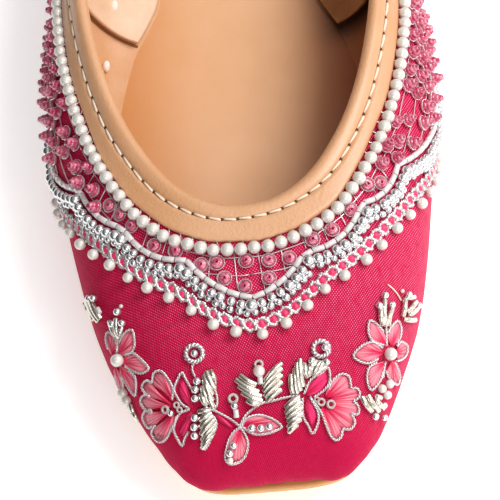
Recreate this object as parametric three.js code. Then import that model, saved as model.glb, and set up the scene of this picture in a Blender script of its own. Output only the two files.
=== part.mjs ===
// A mojari: a flat slip-on shoe with a hollow cloth upper lined in leather, a folded collar binding,
// a string of pearls, a scalloped beaded border, an insole, a thin leather sole and a low heel lift.
// Millimetres, +Z up, the toe towards -Y. The origin is on the floor under the middle of the heel lift.

import * as THREE from "three";

// Driving dimensions of the last and the upper
const shoeLength = 248; // toe to back of heel, over the upper
const ballWidth = 87; // across the upper at the ball
const throatHeight = 34; // floor to the front of the collar
const backHeight = 53; // floor to the top of the back
const toeSwing = 1.8; // how far the toe leans to +X, as worn in
const upperWall = 2; // cloth and lining together

// Driving dimensions of the bottom
const toeSpring = 4; // floor to the underside of the toe
const soleThickness = 3.5;
const soleOverhang = 1; // the sole's edge outside the upper's lower edge
const soleBevel = 0.6; // how much smaller the sole is at the floor
const heelHeight = 5.5;
const heelInset = 0.5; // the heel lift's edge inside the sole's edge
const insoleThickness = 2.5;

// Driving dimensions of the trim
const bindingWidth = 8; // on the outside, down from the collar's edge
const bindingFold = 5; // on the inside
const bindingThickness = 1.2;
const pearlDiameter = 2.8;
const borderThickness = 1.2; // the netted band of sequins
const ropeHeight = 2.2; // the bead rope along the band's lower edge
const ropeWidth = 2.6;
const scallopPitch = 13.5;
const throatScallop = 24; // the deep scallop at the throat, from peak to peak

// Clearance between pieces that touch on the shoe
const seatGap = 0.3;

// Places along the shoe, as shares of its length from the toe
const springStart = 0.24; // the toe spring starts ahead of this
const shankStart = 0.42; // the sole leaves the floor behind this
const shankEnd = 0.74; // and is level at the heel's height behind this
const heelBreast = 0.77;
const heelMiddle = 0.88;
const swingStart = 0.36; // the toe starts to lean at the ball
const toeY = -heelMiddle * shoeLength;

// Half of the upper as sections from the toe round one side to the back. Each section is one cubic
// curve from the lower edge to the collar:
//   foot, topFoot   places of its lower and upper end, as shares of the length from the toe
//   half, topHalf   distances from the middle there, as shares of half the ball width
//   rise            height of the collar, from 0 at the throat to 1 at the back
//   out, up         first handle: outwards, a share of the ball width, and up, of the section's height
//   lean, drop      second handle: outwards from the collar, and down from it, in the same shares
const sectionColumns = ["foot", "half", "topFoot", "topHalf", "rise", "out", "up", "lean", "drop"];
const sectionRows = {
  toeTip: [0.007, 0, 0.217, 0, 0, 0.07, 0.54, 0.25, 0.19],
  toeFront: [0.008, 0.255, 0.22, 0.126, 0.004, 0.07, 0.54, 0.24, 0.19],
  toeCorner: [0.026, 0.445, 0.23, 0.241, 0.018, 0.068, 0.54, 0.22, 0.18],
  toeSide: [0.087, 0.632, 0.248, 0.356, 0.04, 0.066, 0.54, 0.2, 0.17],
  vamp: [0.16, 0.782, 0.276, 0.467, 0.072, 0.066, 0.54, 0.17, 0.16],
  joint: [0.262, 0.897, 0.315, 0.579, 0.12, 0.068, 0.55, 0.135, 0.19],
  ball: [0.354, 0.952, 0.374, 0.685, 0.19, 0.07, 0.53, 0.105, 0.21],
  behindBall: [0.451, 0.878, 0.451, 0.763, 0.275, 0.085, 0.48, 0.075, 0.23],
  waistFront: [0.548, 0.725, 0.548, 0.786, 0.31, 0.095, 0.43, 0.055, 0.24],
  waist: [0.652, 0.65, 0.652, 0.74, 0.34, 0.075, 0.4, 0.045, 0.22],
  heelFront: [0.765, 0.65, 0.765, 0.665, 0.48, 0.06, 0.38, 0.035, 0.26],
  heelSide: [0.866, 0.648, 0.862, 0.58, 0.72, 0.05, 0.36, 0.035, 0.3],
  heelCorner: [0.955, 0.48, 0.935, 0.395, 0.93, 0.048, 0.34, 0.04, 0.32],
  heelBack: [0.993, 0, 0.965, 0, 1, 0.046, 0.34, 0.04, 0.32],
};
const sections = Object.values(sectionRows).map((row) =>
  Object.fromEntries(sectionColumns.map((column, index) => [column, row[index]]))
);
const mirroredColumns = ["half", "topHalf"]; // these change sign on the other side
const turn = 2 * (sections.length - 1); // sections in one full turn round the shoe

// A closed smooth curve of one value, through evenly spaced values
function closedSpline(values) {
  const count = values.length;
  const wrap = (index) => ((index % count) + count) % count;
  let slopes = values.map(() => 0);
  const passes = 60; // each pass halves what is left to settle
  for (let pass = 0; pass < passes; pass += 1) {
    slopes = slopes.map((_, index) => {
      const rise = values[wrap(index + 1)] - values[wrap(index - 1)];
      return (3 * rise - slopes[wrap(index - 1)] - slopes[wrap(index + 1)]) / 4;
    });
  }
  return (place) => {
    const low = Math.floor(place);
    const t = place - low;
    const i = wrap(low);
    const j = wrap(low + 1);
    const value = (2 * t ** 3 - 3 * t ** 2 + 1) * values[i] + (3 * t ** 2 - 2 * t ** 3) * values[j];
    return value + (t ** 3 - 2 * t ** 2 + t) * slopes[i] + (t ** 3 - t ** 2) * slopes[j];
  };
}

// The section table as curves round the whole shoe: place 0 is the toe, half a turn is the back
const around = {};
for (const column of sectionColumns) {
  const side = sections.map((section) => section[column]);
  const sign = mirroredColumns.includes(column) ? -1 : 1;
  const otherSide = side.slice(1, -1).reverse().map((value) => sign * value);
  around[column] = closedSpline([...side, ...otherSide]);
}

// Height of the sole's underside over the floor, at a share of the length
function undersideHeight(share) {
  if (share < springStart) return toeSpring * ((springStart - share) / springStart) ** 2;
  const climb = THREE.MathUtils.smoothstep(share, shankStart, shankEnd);
  return climb * (heelHeight + seatGap);
}

const shareOf = (y) => (y - toeY) / shoeLength;
const soleTopHeight = (y) => undersideHeight(shareOf(y)) + soleThickness;

// The last leans a little at the toe; every piece is bent by the same amount
function swung(point) {
  const ahead = Math.max(0, swingStart - shareOf(point.y)) / swingStart;
  return new THREE.Vector3(point.x + toeSwing * ahead ** 2, point.y, point.z);
}

// A point of the lower edge (feather line) or of the collar in plan, pushed outwards by a distance
function planPoint(place, footColumn, halfColumn, outwards) {
  const at = (p) =>
    new THREE.Vector2((around[halfColumn](p) * ballWidth) / 2, toeY + around[footColumn](p) * shoeLength);
  const step = 1e-3;
  const along = at(place + step).sub(at(place - step)).normalize();
  const normal = new THREE.Vector2(along.y, -along.x);
  return { point: at(place).addScaledVector(normal, outwards), normal };
}
const featherPoint = (place, outwards) => planPoint(place, "foot", "half", outwards);
const collarPoint = (place, outwards) => planPoint(place, "topFoot", "topHalf", outwards);

// The upper's outer surface: height 0 is the lower edge and height 1 the collar's edge
function outerSurface(place, height) {
  const base = featherPoint(place, 0);
  const top = collarPoint(place, 0);
  const baseZ = soleTopHeight(base.point.y) + seatGap;
  const topZ = throatHeight + around.rise(place) * (backHeight - throatHeight);
  const tall = topZ - baseZ;
  const low = base.point.clone().addScaledVector(base.normal, around.out(place) * ballWidth);
  const high = top.point.clone().addScaledVector(top.normal, around.lean(place) * ballWidth);
  const curve = new THREE.CubicBezierCurve3(
    new THREE.Vector3(base.point.x, base.point.y, baseZ),
    new THREE.Vector3(low.x, low.y, baseZ + around.up(place) * tall),
    new THREE.Vector3(high.x, high.y, topZ - around.drop(place) * tall),
    new THREE.Vector3(top.point.x, top.point.y, topZ)
  );
  return swung(curve.getPoint(height));
}

// Directions on the outer surface: up the section, and out of the shoe
function frameAt(place, height) {
  const step = 1e-3;
  const upper = outerSurface(place, Math.min(1, height + step));
  const lower = outerSurface(place, Math.max(0, height - step));
  const rising = upper.sub(lower).normalize();
  const ahead = outerSurface(place + step, height).sub(outerSurface(place - step, height)).normalize();
  const outward = new THREE.Vector3().crossVectors(ahead, rising).normalize();
  return { rising, outward };
}

// A point at a distance down the section from the collar's edge, raised off the surface
function trimPoint(place, depth, raised) {
  const samples = 48;
  let height = 1;
  let left = depth;
  let previous = outerSurface(place, 1);
  for (let index = samples - 1; index >= 0; index -= 1) {
    const next = outerSurface(place, index / samples);
    const step = next.distanceTo(previous);
    if (left <= step) {
      height = (index + 1 - left / step) / samples;
      break;
    }
    left -= step;
    previous = next;
    height = index / samples;
  }
  return outerSurface(place, height).addScaledVector(frameAt(place, height).outward, raised);
}

// One closed body from sections of equal length: joined end to end, or capped at both ends
function loftSolid(loops, joined) {
  const size = loops[0].length;
  const points = loops.flat();
  const faces = [];
  const last = joined ? loops.length : loops.length - 1;
  for (let loop = 0; loop < last; loop += 1) {
    for (let index = 0; index < size; index += 1) {
      const a = loop * size + index;
      const b = loop * size + ((index + 1) % size);
      const c = ((loop + 1) % loops.length) * size + ((index + 1) % size);
      const d = ((loop + 1) % loops.length) * size + index;
      faces.push([a, b, c], [a, c, d]);
    }
  }
  if (!joined) {
    const end = (loops.length - 1) * size;
    for (let index = 1; index < size - 1; index += 1) {
      faces.push([0, index + 1, index], [end, end + index, end + index + 1]);
    }
  }
  const volume = faces.reduce(
    (sum, [a, b, c]) => sum + points[a].dot(new THREE.Vector3().crossVectors(points[b], points[c])),
    0
  );
  const facing = volume < 0 ? faces.map(([a, b, c]) => [a, c, b]) : faces;
  const geometry = new THREE.BufferGeometry().setFromPoints(points);
  geometry.setIndex(facing.flat());
  geometry.computeVertexNormals();
  return geometry;
}

// Places round the shoe that every piece of the last shares, so that their facets line up
const stationsPerSection = 3;
const stationCount = turn * stationsPerSection;
const stations = Array.from({ length: stationCount }, (_, index) => (index + 0.5) / stationsPerSection);
const halfStations = stations.slice(0, stationCount / 2);

// The upper: one wall all round, open at the collar and underneath
function upperGeometry() {
  const steps = 9;
  const loops = stations.map((place) => {
    const outer = [];
    const inner = [];
    for (let step = 0; step <= steps; step += 1) {
      const height = step / steps;
      const point = outerSurface(place, height);
      outer.push(point);
      inner.unshift(point.clone().addScaledVector(frameAt(place, height).outward, -upperWall));
    }
    const inside = featherPoint(place, -upperWall).point;
    inner[inner.length - 1] = swung(new THREE.Vector3(inside.x, inside.y, outer[0].z));
    return [...outer, ...inner];
  });
  return loftSolid(loops, true);
}

// A flat piece of the bottom between two heights that follow the length, with one outline for its top
// and one for its underside
function bottomGeometry(places, topOutwards, undersideOutwards, topHeight, undersideHeightAt) {
  const loops = places.map((place) => {
    const corner = (outwards, heightAt, side) => {
      const { point } = featherPoint(place, outwards);
      return swung(new THREE.Vector3(side * point.x, point.y, heightAt(point.y)));
    };
    return [
      corner(topOutwards, topHeight, 1),
      corner(topOutwards, topHeight, -1),
      corner(undersideOutwards, undersideHeightAt, -1),
      corner(undersideOutwards, undersideHeightAt, 1),
    ];
  });
  return loftSolid(loops, false);
}

function outsoleGeometry() {
  const underside = (y) => undersideHeight(shareOf(y));
  return bottomGeometry(halfStations, soleOverhang, soleOverhang - soleBevel, soleTopHeight, underside);
}

function insoleGeometry() {
  const edge = -(upperWall + seatGap);
  const underside = (y) => soleTopHeight(y) + seatGap;
  const top = (y) => underside(y) + insoleThickness;
  return bottomGeometry(halfStations, edge, edge, top, underside);
}

// The heel lift: the sole's outline behind a straight breast
function heelGeometry() {
  const edge = soleOverhang - heelInset;
  const breastY = toeY + heelBreast * shoeLength;
  let front = 0;
  let back = turn / 2;
  const halvings = 40;
  for (let index = 0; index < halvings; index += 1) {
    const middle = (front + back) / 2;
    if (featherPoint(middle, edge).point.y < breastY) front = middle;
    else back = middle;
  }
  const behind = halfStations.filter((place) => place > front + 0.5 / stationsPerSection);
  const top = () => heelHeight;
  const floor = () => 0;
  return bottomGeometry([front, ...behind], edge, edge - soleBevel, top, floor);
}

// The collar binding: a strip folded over the wall's edge, down the outside and a little inside
function bindingGeometry() {
  const skinLow = seatGap;
  const skinHigh = seatGap + bindingThickness;
  const outsideDepths = [bindingWidth, bindingWidth / 2, 0];
  const foldAngles = [60, 0, -60].map(THREE.MathUtils.degToRad);
  const loops = stations.map((place) => {
    const { rising, outward } = frameAt(place, 1);
    const middle = outerSurface(place, 1).addScaledVector(outward, -upperWall / 2);
    const overEdge = (radius) =>
      foldAngles.map((angle) =>
        middle
          .clone()
          .addScaledVector(rising, radius * Math.cos(angle))
          .addScaledVector(outward, radius * Math.sin(angle))
      );
    const over = overEdge(upperWall / 2 + skinHigh);
    const under = overEdge(upperWall / 2 + skinLow).reverse();
    return [
      ...outsideDepths.map((depth) => trimPoint(place, depth, skinHigh)),
      ...over,
      ...[0, bindingFold].map((depth) => trimPoint(place, depth, -upperWall - skinHigh)),
      ...[bindingFold, 0].map((depth) => trimPoint(place, depth, -upperWall - skinLow)),
      ...under,
      ...[...outsideDepths].reverse().map((depth) => trimPoint(place, depth, skinLow)),
    ];
  });
  return loftSolid(loops, true);
}

// The pearl string beside the binding, as one round cord
const pearlDepth = bindingWidth + seatGap + pearlDiameter / 2;
function pearlStringGeometry() {
  const sides = 6;
  const radius = pearlDiameter / 2;
  const loops = stations.map((place) =>
    Array.from({ length: sides }, (_, index) => {
      const angle = (2 * Math.PI * (index + 0.5)) / sides;
      const depth = pearlDepth + radius * Math.cos(angle);
      return trimPoint(place, depth, seatGap + radius * (1 + Math.sin(angle)));
    })
  );
  return loftSolid(loops, true);
}

// Distances along the pearl string, from the throat round to the back, and the place at a distance
const trackSamples = 260;
const track = [{ place: 0, distance: 0 }];
let trackPoint = trimPoint(0, pearlDepth, 0);
for (let index = 1; index <= trackSamples; index += 1) {
  const place = (index / trackSamples) * (turn / 2);
  const next = trimPoint(place, pearlDepth, 0);
  const distance = track[index - 1].distance + next.distanceTo(trackPoint);
  track.push({ place, distance });
  trackPoint = next;
}
const halfTrack = track[trackSamples].distance;

function placeAt(distance) {
  const side = Math.sign(distance) || 1;
  const length = Math.min(Math.abs(distance), halfTrack);
  const after = Math.max(1, track.findIndex((entry) => entry.distance >= length - 1e-9));
  const [low, high] = [track[after - 1], track[after]];
  const share = (length - low.distance) / (high.distance - low.distance);
  return side * THREE.MathUtils.lerp(low.place, high.place, share);
}

// The beaded border's lower edge, as a depth below the collar: one deep scallop at the throat, then
// shallow ones whose peaks drop from the toe's edge to the sides
const peakDepthFront = 13.8;
const peakDepthSide = 26;
const throatScallopDepth = 20.4;
const peakDropStart = 27; // distance from the throat where the peaks start to drop
const peakDropEnd = 70;
const scallopSag = 2.4;
const sideScallops = Math.round((halfTrack - throatScallop / 2) / scallopPitch);
const sidePitch = (halfTrack - throatScallop / 2) / sideScallops;

function peakDepth(distance) {
  const drop = THREE.MathUtils.smoothstep(Math.abs(distance), peakDropStart, peakDropEnd);
  return THREE.MathUtils.lerp(peakDepthFront, peakDepthSide, drop);
}

function borderDepth(distance) {
  const away = Math.abs(distance);
  if (away < throatScallop / 2) {
    const share = away / (throatScallop / 2);
    return THREE.MathUtils.lerp(throatScallopDepth, peakDepthFront, share ** 0.85);
  }
  const phase = ((away - throatScallop / 2) / sidePitch) % 1;
  return peakDepth(away) + scallopSag * Math.sin(Math.PI * phase) ** 0.8;
}

// The beaded border: a thin netted band from the pearls down, with a raised bead rope on its edge
function borderGeometry() {
  const stepsPerScallop = 5;
  const topDepth = pearlDepth + pearlDiameter / 2 + seatGap;
  const bandTop = seatGap + borderThickness;
  const ropeTop = seatGap + ropeHeight;
  const distances = [];
  const addSpan = (from, to) => {
    for (let step = 0; step < stepsPerScallop; step += 1) {
      distances.push(THREE.MathUtils.lerp(from, to, step / stepsPerScallop));
    }
  };
  for (let scallop = sideScallops; scallop > 0; scallop -= 1) {
    addSpan(-throatScallop / 2 - scallop * sidePitch, -throatScallop / 2 - (scallop - 1) * sidePitch);
  }
  addSpan(-throatScallop / 2, 0);
  addSpan(0, throatScallop / 2);
  for (let scallop = 0; scallop < sideScallops; scallop += 1) {
    addSpan(throatScallop / 2 + scallop * sidePitch, throatScallop / 2 + (scallop + 1) * sidePitch);
  }
  const loops = distances.map((distance) => {
    const place = placeAt(distance);
    const low = borderDepth(distance) + ropeWidth / 2;
    const rope = low - ropeWidth;
    const backing = [0, 0.25, 0.5, 0.75, 1].map((share) => THREE.MathUtils.lerp(low, topDepth, share));
    return [
      trimPoint(place, topDepth, bandTop),
      trimPoint(place, (topDepth + rope) / 2, bandTop),
      trimPoint(place, rope, bandTop),
      trimPoint(place, rope + ropeWidth / 4, ropeTop),
      trimPoint(place, low - ropeWidth / 4, ropeTop),
      ...backing.map((depth) => trimPoint(place, depth, seatGap)),
    ];
  });
  return loftSolid(loops, true);
}

const shoe = new THREE.Group();
shoe.name = "mojari";

function addPiece(name, geometry, color, roughness) {
  const material = new THREE.MeshStandardMaterial({ color, roughness, metalness: 0 });
  material.name = name;
  const mesh = new THREE.Mesh(geometry, material);
  mesh.name = name;
  shoe.add(mesh);
}

addPiece("outsole", outsoleGeometry(), 0xdca566, 0.6);
addPiece("heel_lift", heelGeometry(), 0xb9834a, 0.7);
addPiece("insole", insoleGeometry(), 0xe2a96f, 0.5);
addPiece("upper", upperGeometry(), 0xc8104f, 0.75);
addPiece("collar_binding", bindingGeometry(), 0xefc298, 0.5);
addPiece("pearl_string", pearlStringGeometry(), 0xf2efe8, 0.2);
addPiece("beaded_border", borderGeometry(), 0xd9cfc6, 0.35);

export default shoe;
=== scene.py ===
import math

import bpy
import numpy as np
from mathutils import Matrix, Vector
from mathutils.bvhtree import BVHTree


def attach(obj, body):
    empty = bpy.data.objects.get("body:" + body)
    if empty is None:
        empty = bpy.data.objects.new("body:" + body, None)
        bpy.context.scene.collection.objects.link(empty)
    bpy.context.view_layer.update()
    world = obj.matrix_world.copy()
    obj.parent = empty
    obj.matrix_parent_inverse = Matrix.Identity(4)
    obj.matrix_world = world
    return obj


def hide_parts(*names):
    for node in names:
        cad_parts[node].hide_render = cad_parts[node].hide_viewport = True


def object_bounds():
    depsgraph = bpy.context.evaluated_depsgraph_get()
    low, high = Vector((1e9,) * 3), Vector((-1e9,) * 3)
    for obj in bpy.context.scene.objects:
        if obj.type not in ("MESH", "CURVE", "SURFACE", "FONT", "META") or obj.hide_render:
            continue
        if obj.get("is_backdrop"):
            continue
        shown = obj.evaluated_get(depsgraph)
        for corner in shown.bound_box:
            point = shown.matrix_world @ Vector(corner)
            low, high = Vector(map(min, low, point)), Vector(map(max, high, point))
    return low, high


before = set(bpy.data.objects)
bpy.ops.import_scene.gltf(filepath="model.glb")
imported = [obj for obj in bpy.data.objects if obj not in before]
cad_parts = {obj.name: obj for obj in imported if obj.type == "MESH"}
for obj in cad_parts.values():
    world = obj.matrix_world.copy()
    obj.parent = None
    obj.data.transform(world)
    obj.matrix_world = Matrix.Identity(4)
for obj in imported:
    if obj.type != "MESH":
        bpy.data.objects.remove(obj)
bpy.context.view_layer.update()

# Camera
# The photo looks down on the front half from over the toe, a little rolled. Its place was worked out
# from the collar, the sides and the pearls, and is kept in the shoe's own millimetres.
MM = 0.001
shoe_length = 248.0
toe_y = -0.88 * shoe_length
throat = np.array([0.0, toe_y + 0.217 * shoe_length, 34.0])
photo_side = 500.0
throat_pixel = (242.2, 203.9)
camera_azimuth = math.radians(4.97)
camera_elevation = math.radians(58.85)
camera_roll = math.radians(9.38)
camera_distance = 365.6
focal_pixels = 1745.8

view_line = np.array([
    -math.sin(camera_azimuth) * math.cos(camera_elevation),
    math.cos(camera_azimuth) * math.cos(camera_elevation),
    -math.sin(camera_elevation),
])
level = np.array([math.cos(camera_azimuth), math.sin(camera_azimuth), 0.0])
upright = np.cross(level, view_line)
view_right = math.cos(camera_roll) * level - math.sin(camera_roll) * upright
view_up = math.sin(camera_roll) * level + math.cos(camera_roll) * upright
across = (throat_pixel[0] - photo_side / 2) / focal_pixels
down = (throat_pixel[1] - photo_side / 2) / focal_pixels
camera_place = throat - camera_distance * (view_line + across * view_right - down * view_up)

camera_data = bpy.data.cameras.new("camera")
camera_data.sensor_width = 36.0
camera_data.lens = focal_pixels / photo_side * camera_data.sensor_width
camera_data.clip_start = 0.01
camera = bpy.data.objects.new("camera", camera_data)
turned = Matrix([view_right, view_up, -view_line]).transposed().to_4x4()
camera.matrix_world = Matrix.Translation(Vector(camera_place) * MM) @ turned
bpy.context.scene.collection.objects.link(camera)
bpy.context.scene.camera = camera

# Floor and light
# A plain pale floor under soft studio light: a large window-like light from the photo's right, a weak
# one from the toe, and a pale sky that is dimmer on the left, which gives the metal beads contrast.


def linear(hex_colour):
    channels = [int(hex_colour[i:i + 2], 16) / 255 for i in (1, 3, 5)]
    return [c / 12.92 if c <= 0.04045 else ((c + 0.055) / 1.055) ** 2.4 for c in channels] + [1.0]


def add_node(tree, kind, inputs=None, **settings):
    node = tree.nodes.new(kind)
    for name, value in settings.items():
        setattr(node, name, value)
    for socket, value in (inputs or {}).items():
        if isinstance(value, bpy.types.NodeSocket):
            tree.links.new(value, node.inputs[socket])
        else:
            node.inputs[socket].default_value = value
    return node


def set_sockets(shader, values):
    for socket, value in values.items():
        shader.inputs[socket].default_value = value


def two_tone(tree, share, first, second):
    """Output of a mix from one colour to another; each is a hex string or a socket."""
    colours = [linear(tone) if isinstance(tone, str) else tone for tone in (first, second)]
    mix = add_node(tree, "ShaderNodeMix", {0: share, 6: colours[0], 7: colours[1]}, data_type="RGBA")
    return mix.outputs[2]


def new_material(name):
    material = bpy.data.materials.new(name)
    material.use_nodes = True
    tree = material.node_tree
    tree.nodes.clear()
    surface = add_node(tree, "ShaderNodeBsdfPrincipled")
    add_node(tree, "ShaderNodeOutputMaterial", {"Surface": surface.outputs["BSDF"]})
    return material, tree, surface


def make_mesh(name, points, faces, material, smooth=True):
    mesh = bpy.data.meshes.new(name)
    mesh.from_pydata((np.asarray(points) * MM).tolist(), [], [tuple(face) for face in faces])
    mesh.materials.append(material)
    if smooth:
        mesh.shade_smooth()
    piece = bpy.data.objects.new(name, mesh)
    bpy.context.scene.collection.objects.link(piece)
    return piece


painted_board, tree, surface = new_material("painted_board")
set_sockets(surface, {"Base Color": linear("#FAFAF9"), "Roughness": 0.75,
                      "Emission Color": linear("#FFFFFF"), "Emission Strength": 0.48})
fine_tooth = add_node(tree, "ShaderNodeTexNoise", {"Scale": 900.0, "Detail": 3.0})
tooth = add_node(tree, "ShaderNodeBump", {"Height": fine_tooth.outputs[0], "Strength": 0.05, "Distance": MM})
tree.links.new(tooth.outputs[0], surface.inputs["Normal"])
floor_reach = 1500.0
floor = make_mesh("floor", [(x, y, 0.0) for x, y in ((-1, -1), (1, -1), (1, 1), (-1, 1))], [(0, 1, 2, 3)],
                  painted_board)
floor.scale = (floor_reach, floor_reach, 1.0)
floor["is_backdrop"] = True

world = bpy.data.worlds.new("studio")
bpy.context.scene.world = world
world.use_nodes = True
world.node_tree.nodes.clear()
direction = add_node(world.node_tree, "ShaderNodeTexCoord")
toward_window = add_node(world.node_tree, "ShaderNodeVectorMath",
                         {0: direction.outputs["Generated"], 1: (0.92, -0.05, 0.39)}, operation="DOT_PRODUCT")
sky = add_node(world.node_tree, "ShaderNodeMapRange",
               {0: toward_window.outputs["Value"], 1: -0.5, 2: 1.1, 3: 0.02, 4: 0.9},
               interpolation_type="SMOOTHSTEP")
backdrop = add_node(world.node_tree, "ShaderNodeBackground", {0: linear("#FFFDFA"), 1: sky.outputs[0]})
add_node(world.node_tree, "ShaderNodeOutputWorld", {"Surface": backdrop.outputs[0]})

lights = {
    "window_light": {"place": (340, -110, 520), "size": (260, 260), "watts": 2.2, "colour": "#FFFFFF"},
    "toe_light": {"place": (60, -520, 330), "size": (300, 200), "watts": 0.55, "colour": "#FFFFFF"},
}
for name, light in lights.items():
    lamp = bpy.data.lights.new(name, "AREA")
    lamp.shape = "RECTANGLE"
    lamp.size, lamp.size_y = light["size"][0] * MM, light["size"][1] * MM
    lamp.energy = light["watts"]
    lamp.color = linear(light["colour"])[:3]
    stand = bpy.data.objects.new(name, lamp)
    stand.location = Vector(light["place"]) * MM
    target = Vector((0.0, -130.0, 20.0)) * MM
    stand.rotation_euler = (target - stand.location).to_track_quat("-Z", "Y").to_euler()
    bpy.context.scene.collection.objects.link(stand)
bpy.context.scene.view_settings.view_transform = "Standard"

# Outsole
# One layer of vegetable-tanned cow leather, cut to the last's outline with its edge trimmed and rubbed
# smooth. It springs up at the toe, lies flat under the ball and rises over a low arch to the heel.
ball_width = 87.0
toe_swing = 1.8
swing_start = 0.36
toe_spring = 4.0
heel_height = 5.5
sole_thickness = 3.5
seat_gap = 0.3
spring_start, shank_start, shank_end = 0.24, 0.42, 0.74
section_columns = ("foot", "half", "top_foot", "top_half", "rise", "out", "up", "lean", "drop")
section_rows = {
    "toe_tip": (0.007, 0, 0.217, 0, 0, 0.07, 0.54, 0.25, 0.19),
    "toe_front": (0.008, 0.255, 0.22, 0.126, 0.004, 0.07, 0.54, 0.24, 0.19),
    "toe_corner": (0.026, 0.445, 0.23, 0.241, 0.018, 0.068, 0.54, 0.22, 0.18),
    "toe_side": (0.087, 0.632, 0.248, 0.356, 0.04, 0.066, 0.54, 0.2, 0.17),
    "vamp": (0.16, 0.782, 0.276, 0.467, 0.072, 0.066, 0.54, 0.17, 0.16),
    "joint": (0.262, 0.897, 0.315, 0.579, 0.12, 0.068, 0.55, 0.135, 0.19),
    "ball": (0.354, 0.952, 0.374, 0.685, 0.19, 0.07, 0.53, 0.105, 0.21),
    "behind_ball": (0.451, 0.878, 0.451, 0.763, 0.275, 0.085, 0.48, 0.075, 0.23),
    "waist_front": (0.548, 0.725, 0.548, 0.786, 0.31, 0.095, 0.43, 0.055, 0.24),
    "waist": (0.652, 0.65, 0.652, 0.74, 0.34, 0.075, 0.4, 0.045, 0.22),
    "heel_front": (0.765, 0.65, 0.765, 0.665, 0.48, 0.06, 0.38, 0.035, 0.26),
    "heel_side": (0.866, 0.648, 0.862, 0.58, 0.72, 0.05, 0.36, 0.035, 0.3),
    "heel_corner": (0.955, 0.48, 0.935, 0.395, 0.93, 0.048, 0.34, 0.04, 0.32),
    "heel_back": (0.993, 0, 0.965, 0, 1, 0.046, 0.34, 0.04, 0.32),
}
turn = 2 * (len(section_rows) - 1)


def closed_spline(values):
    count = len(values)
    system = 4 * np.eye(count) + np.roll(np.eye(count), 1, 0) + np.roll(np.eye(count), -1, 0)
    slopes = np.linalg.solve(system, 3 * (np.roll(values, -1) - np.roll(values, 1)))

    def curve(place):
        place = np.asarray(place, float) % count
        low = np.floor(place).astype(int) % count
        high = (low + 1) % count
        t = place - np.floor(place)
        value = (2 * t ** 3 - 3 * t ** 2 + 1) * values[low] + (3 * t ** 2 - 2 * t ** 3) * values[high]
        return value + (t ** 3 - 2 * t ** 2 + t) * slopes[low] + (t ** 3 - t ** 2) * slopes[high]
    return curve


around = {}
for index, column in enumerate(section_columns):
    side = [row[index] for row in section_rows.values()]
    sign = -1 if column in ("half", "top_half") else 1
    around[column] = closed_spline(np.array(side + [sign * value for value in side[-2:0:-1]]))


def soft_step(value, low, high):
    t = np.clip((np.asarray(value, float) - low) / (high - low), 0, 1)
    return t * t * (3 - 2 * t)


def underside_height(y):
    share = (y - toe_y) / shoe_length
    spring = toe_spring * (np.clip(spring_start - share, 0, None) / spring_start) ** 2
    return spring + soft_step(share, shank_start, shank_end) * (heel_height + seat_gap)


def swung(points):
    ahead = np.clip(swing_start - (points[..., 1] - toe_y) / shoe_length, 0, None) / swing_start
    bent = points.copy()
    bent[..., 0] += toe_swing * ahead ** 2
    return bent


def plan_curve(place, foot_column, half_column):
    def at(p):
        return np.stack([around[half_column](p) * ball_width / 2,
                         toe_y + around[foot_column](p) * shoe_length], -1)
    step = 1e-3
    along = at(place + step) - at(place - step)
    along /= np.linalg.norm(along, axis=-1, keepdims=True)
    return at(place), np.stack([along[..., 1], -along[..., 0]], -1)


def ring_faces(rings, size, joined=False):
    """Faces between rings of points, and from the last to the first where they are joined."""
    faces = []
    for i in range(rings if joined else rings - 1):
        low, high = i * size, (i + 1) % rings * size
        for j in range(size):
            k = (j + 1) % size
            faces.append((low + j, low + k, high + k, high + j))
    return faces


def plate(loop, outwards, rim):
    """Closed solid from an outline and rings of its edge: (distance outwards, height at y) each."""
    rings = []
    for distance, height in rim:
        flat = loop + outwards * distance
        rings.append(swung(np.column_stack([flat, height(flat[:, 1])])))
    count = len(loop)
    faces = ring_faces(len(rings), count)
    top = (len(rings) - 1) * count
    for i in range(count // 2 - 1):
        near, far = i, count - 1 - i
        faces.append((near, far, far - 1, near + 1))
        faces.append((top + near, top + near + 1, top + far - 1, top + far))
    return np.vstack(rings), faces


def rounded_rim(low_height, high_height, edge, radius, low_edge=None, steps=5):
    """Rings from the underside round a softly rounded edge to the top face."""
    low_edge = edge if low_edge is None else low_edge
    rim = [(low_edge - 4 * radius, low_height)]
    for angle in np.linspace(-math.pi / 2, 0, steps):
        rim.append((low_edge - radius * (1 - math.cos(angle)),
                    lambda y, a=angle: low_height(y) + radius * (1 + math.sin(a))))
    for angle in np.linspace(0, math.pi / 2, steps):
        rim.append((edge - radius * (1 - math.cos(angle)),
                    lambda y, a=angle: high_height(y) - radius * (1 - math.sin(a))))
    rim.append((edge - 4 * radius, high_height))
    return rim


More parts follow.
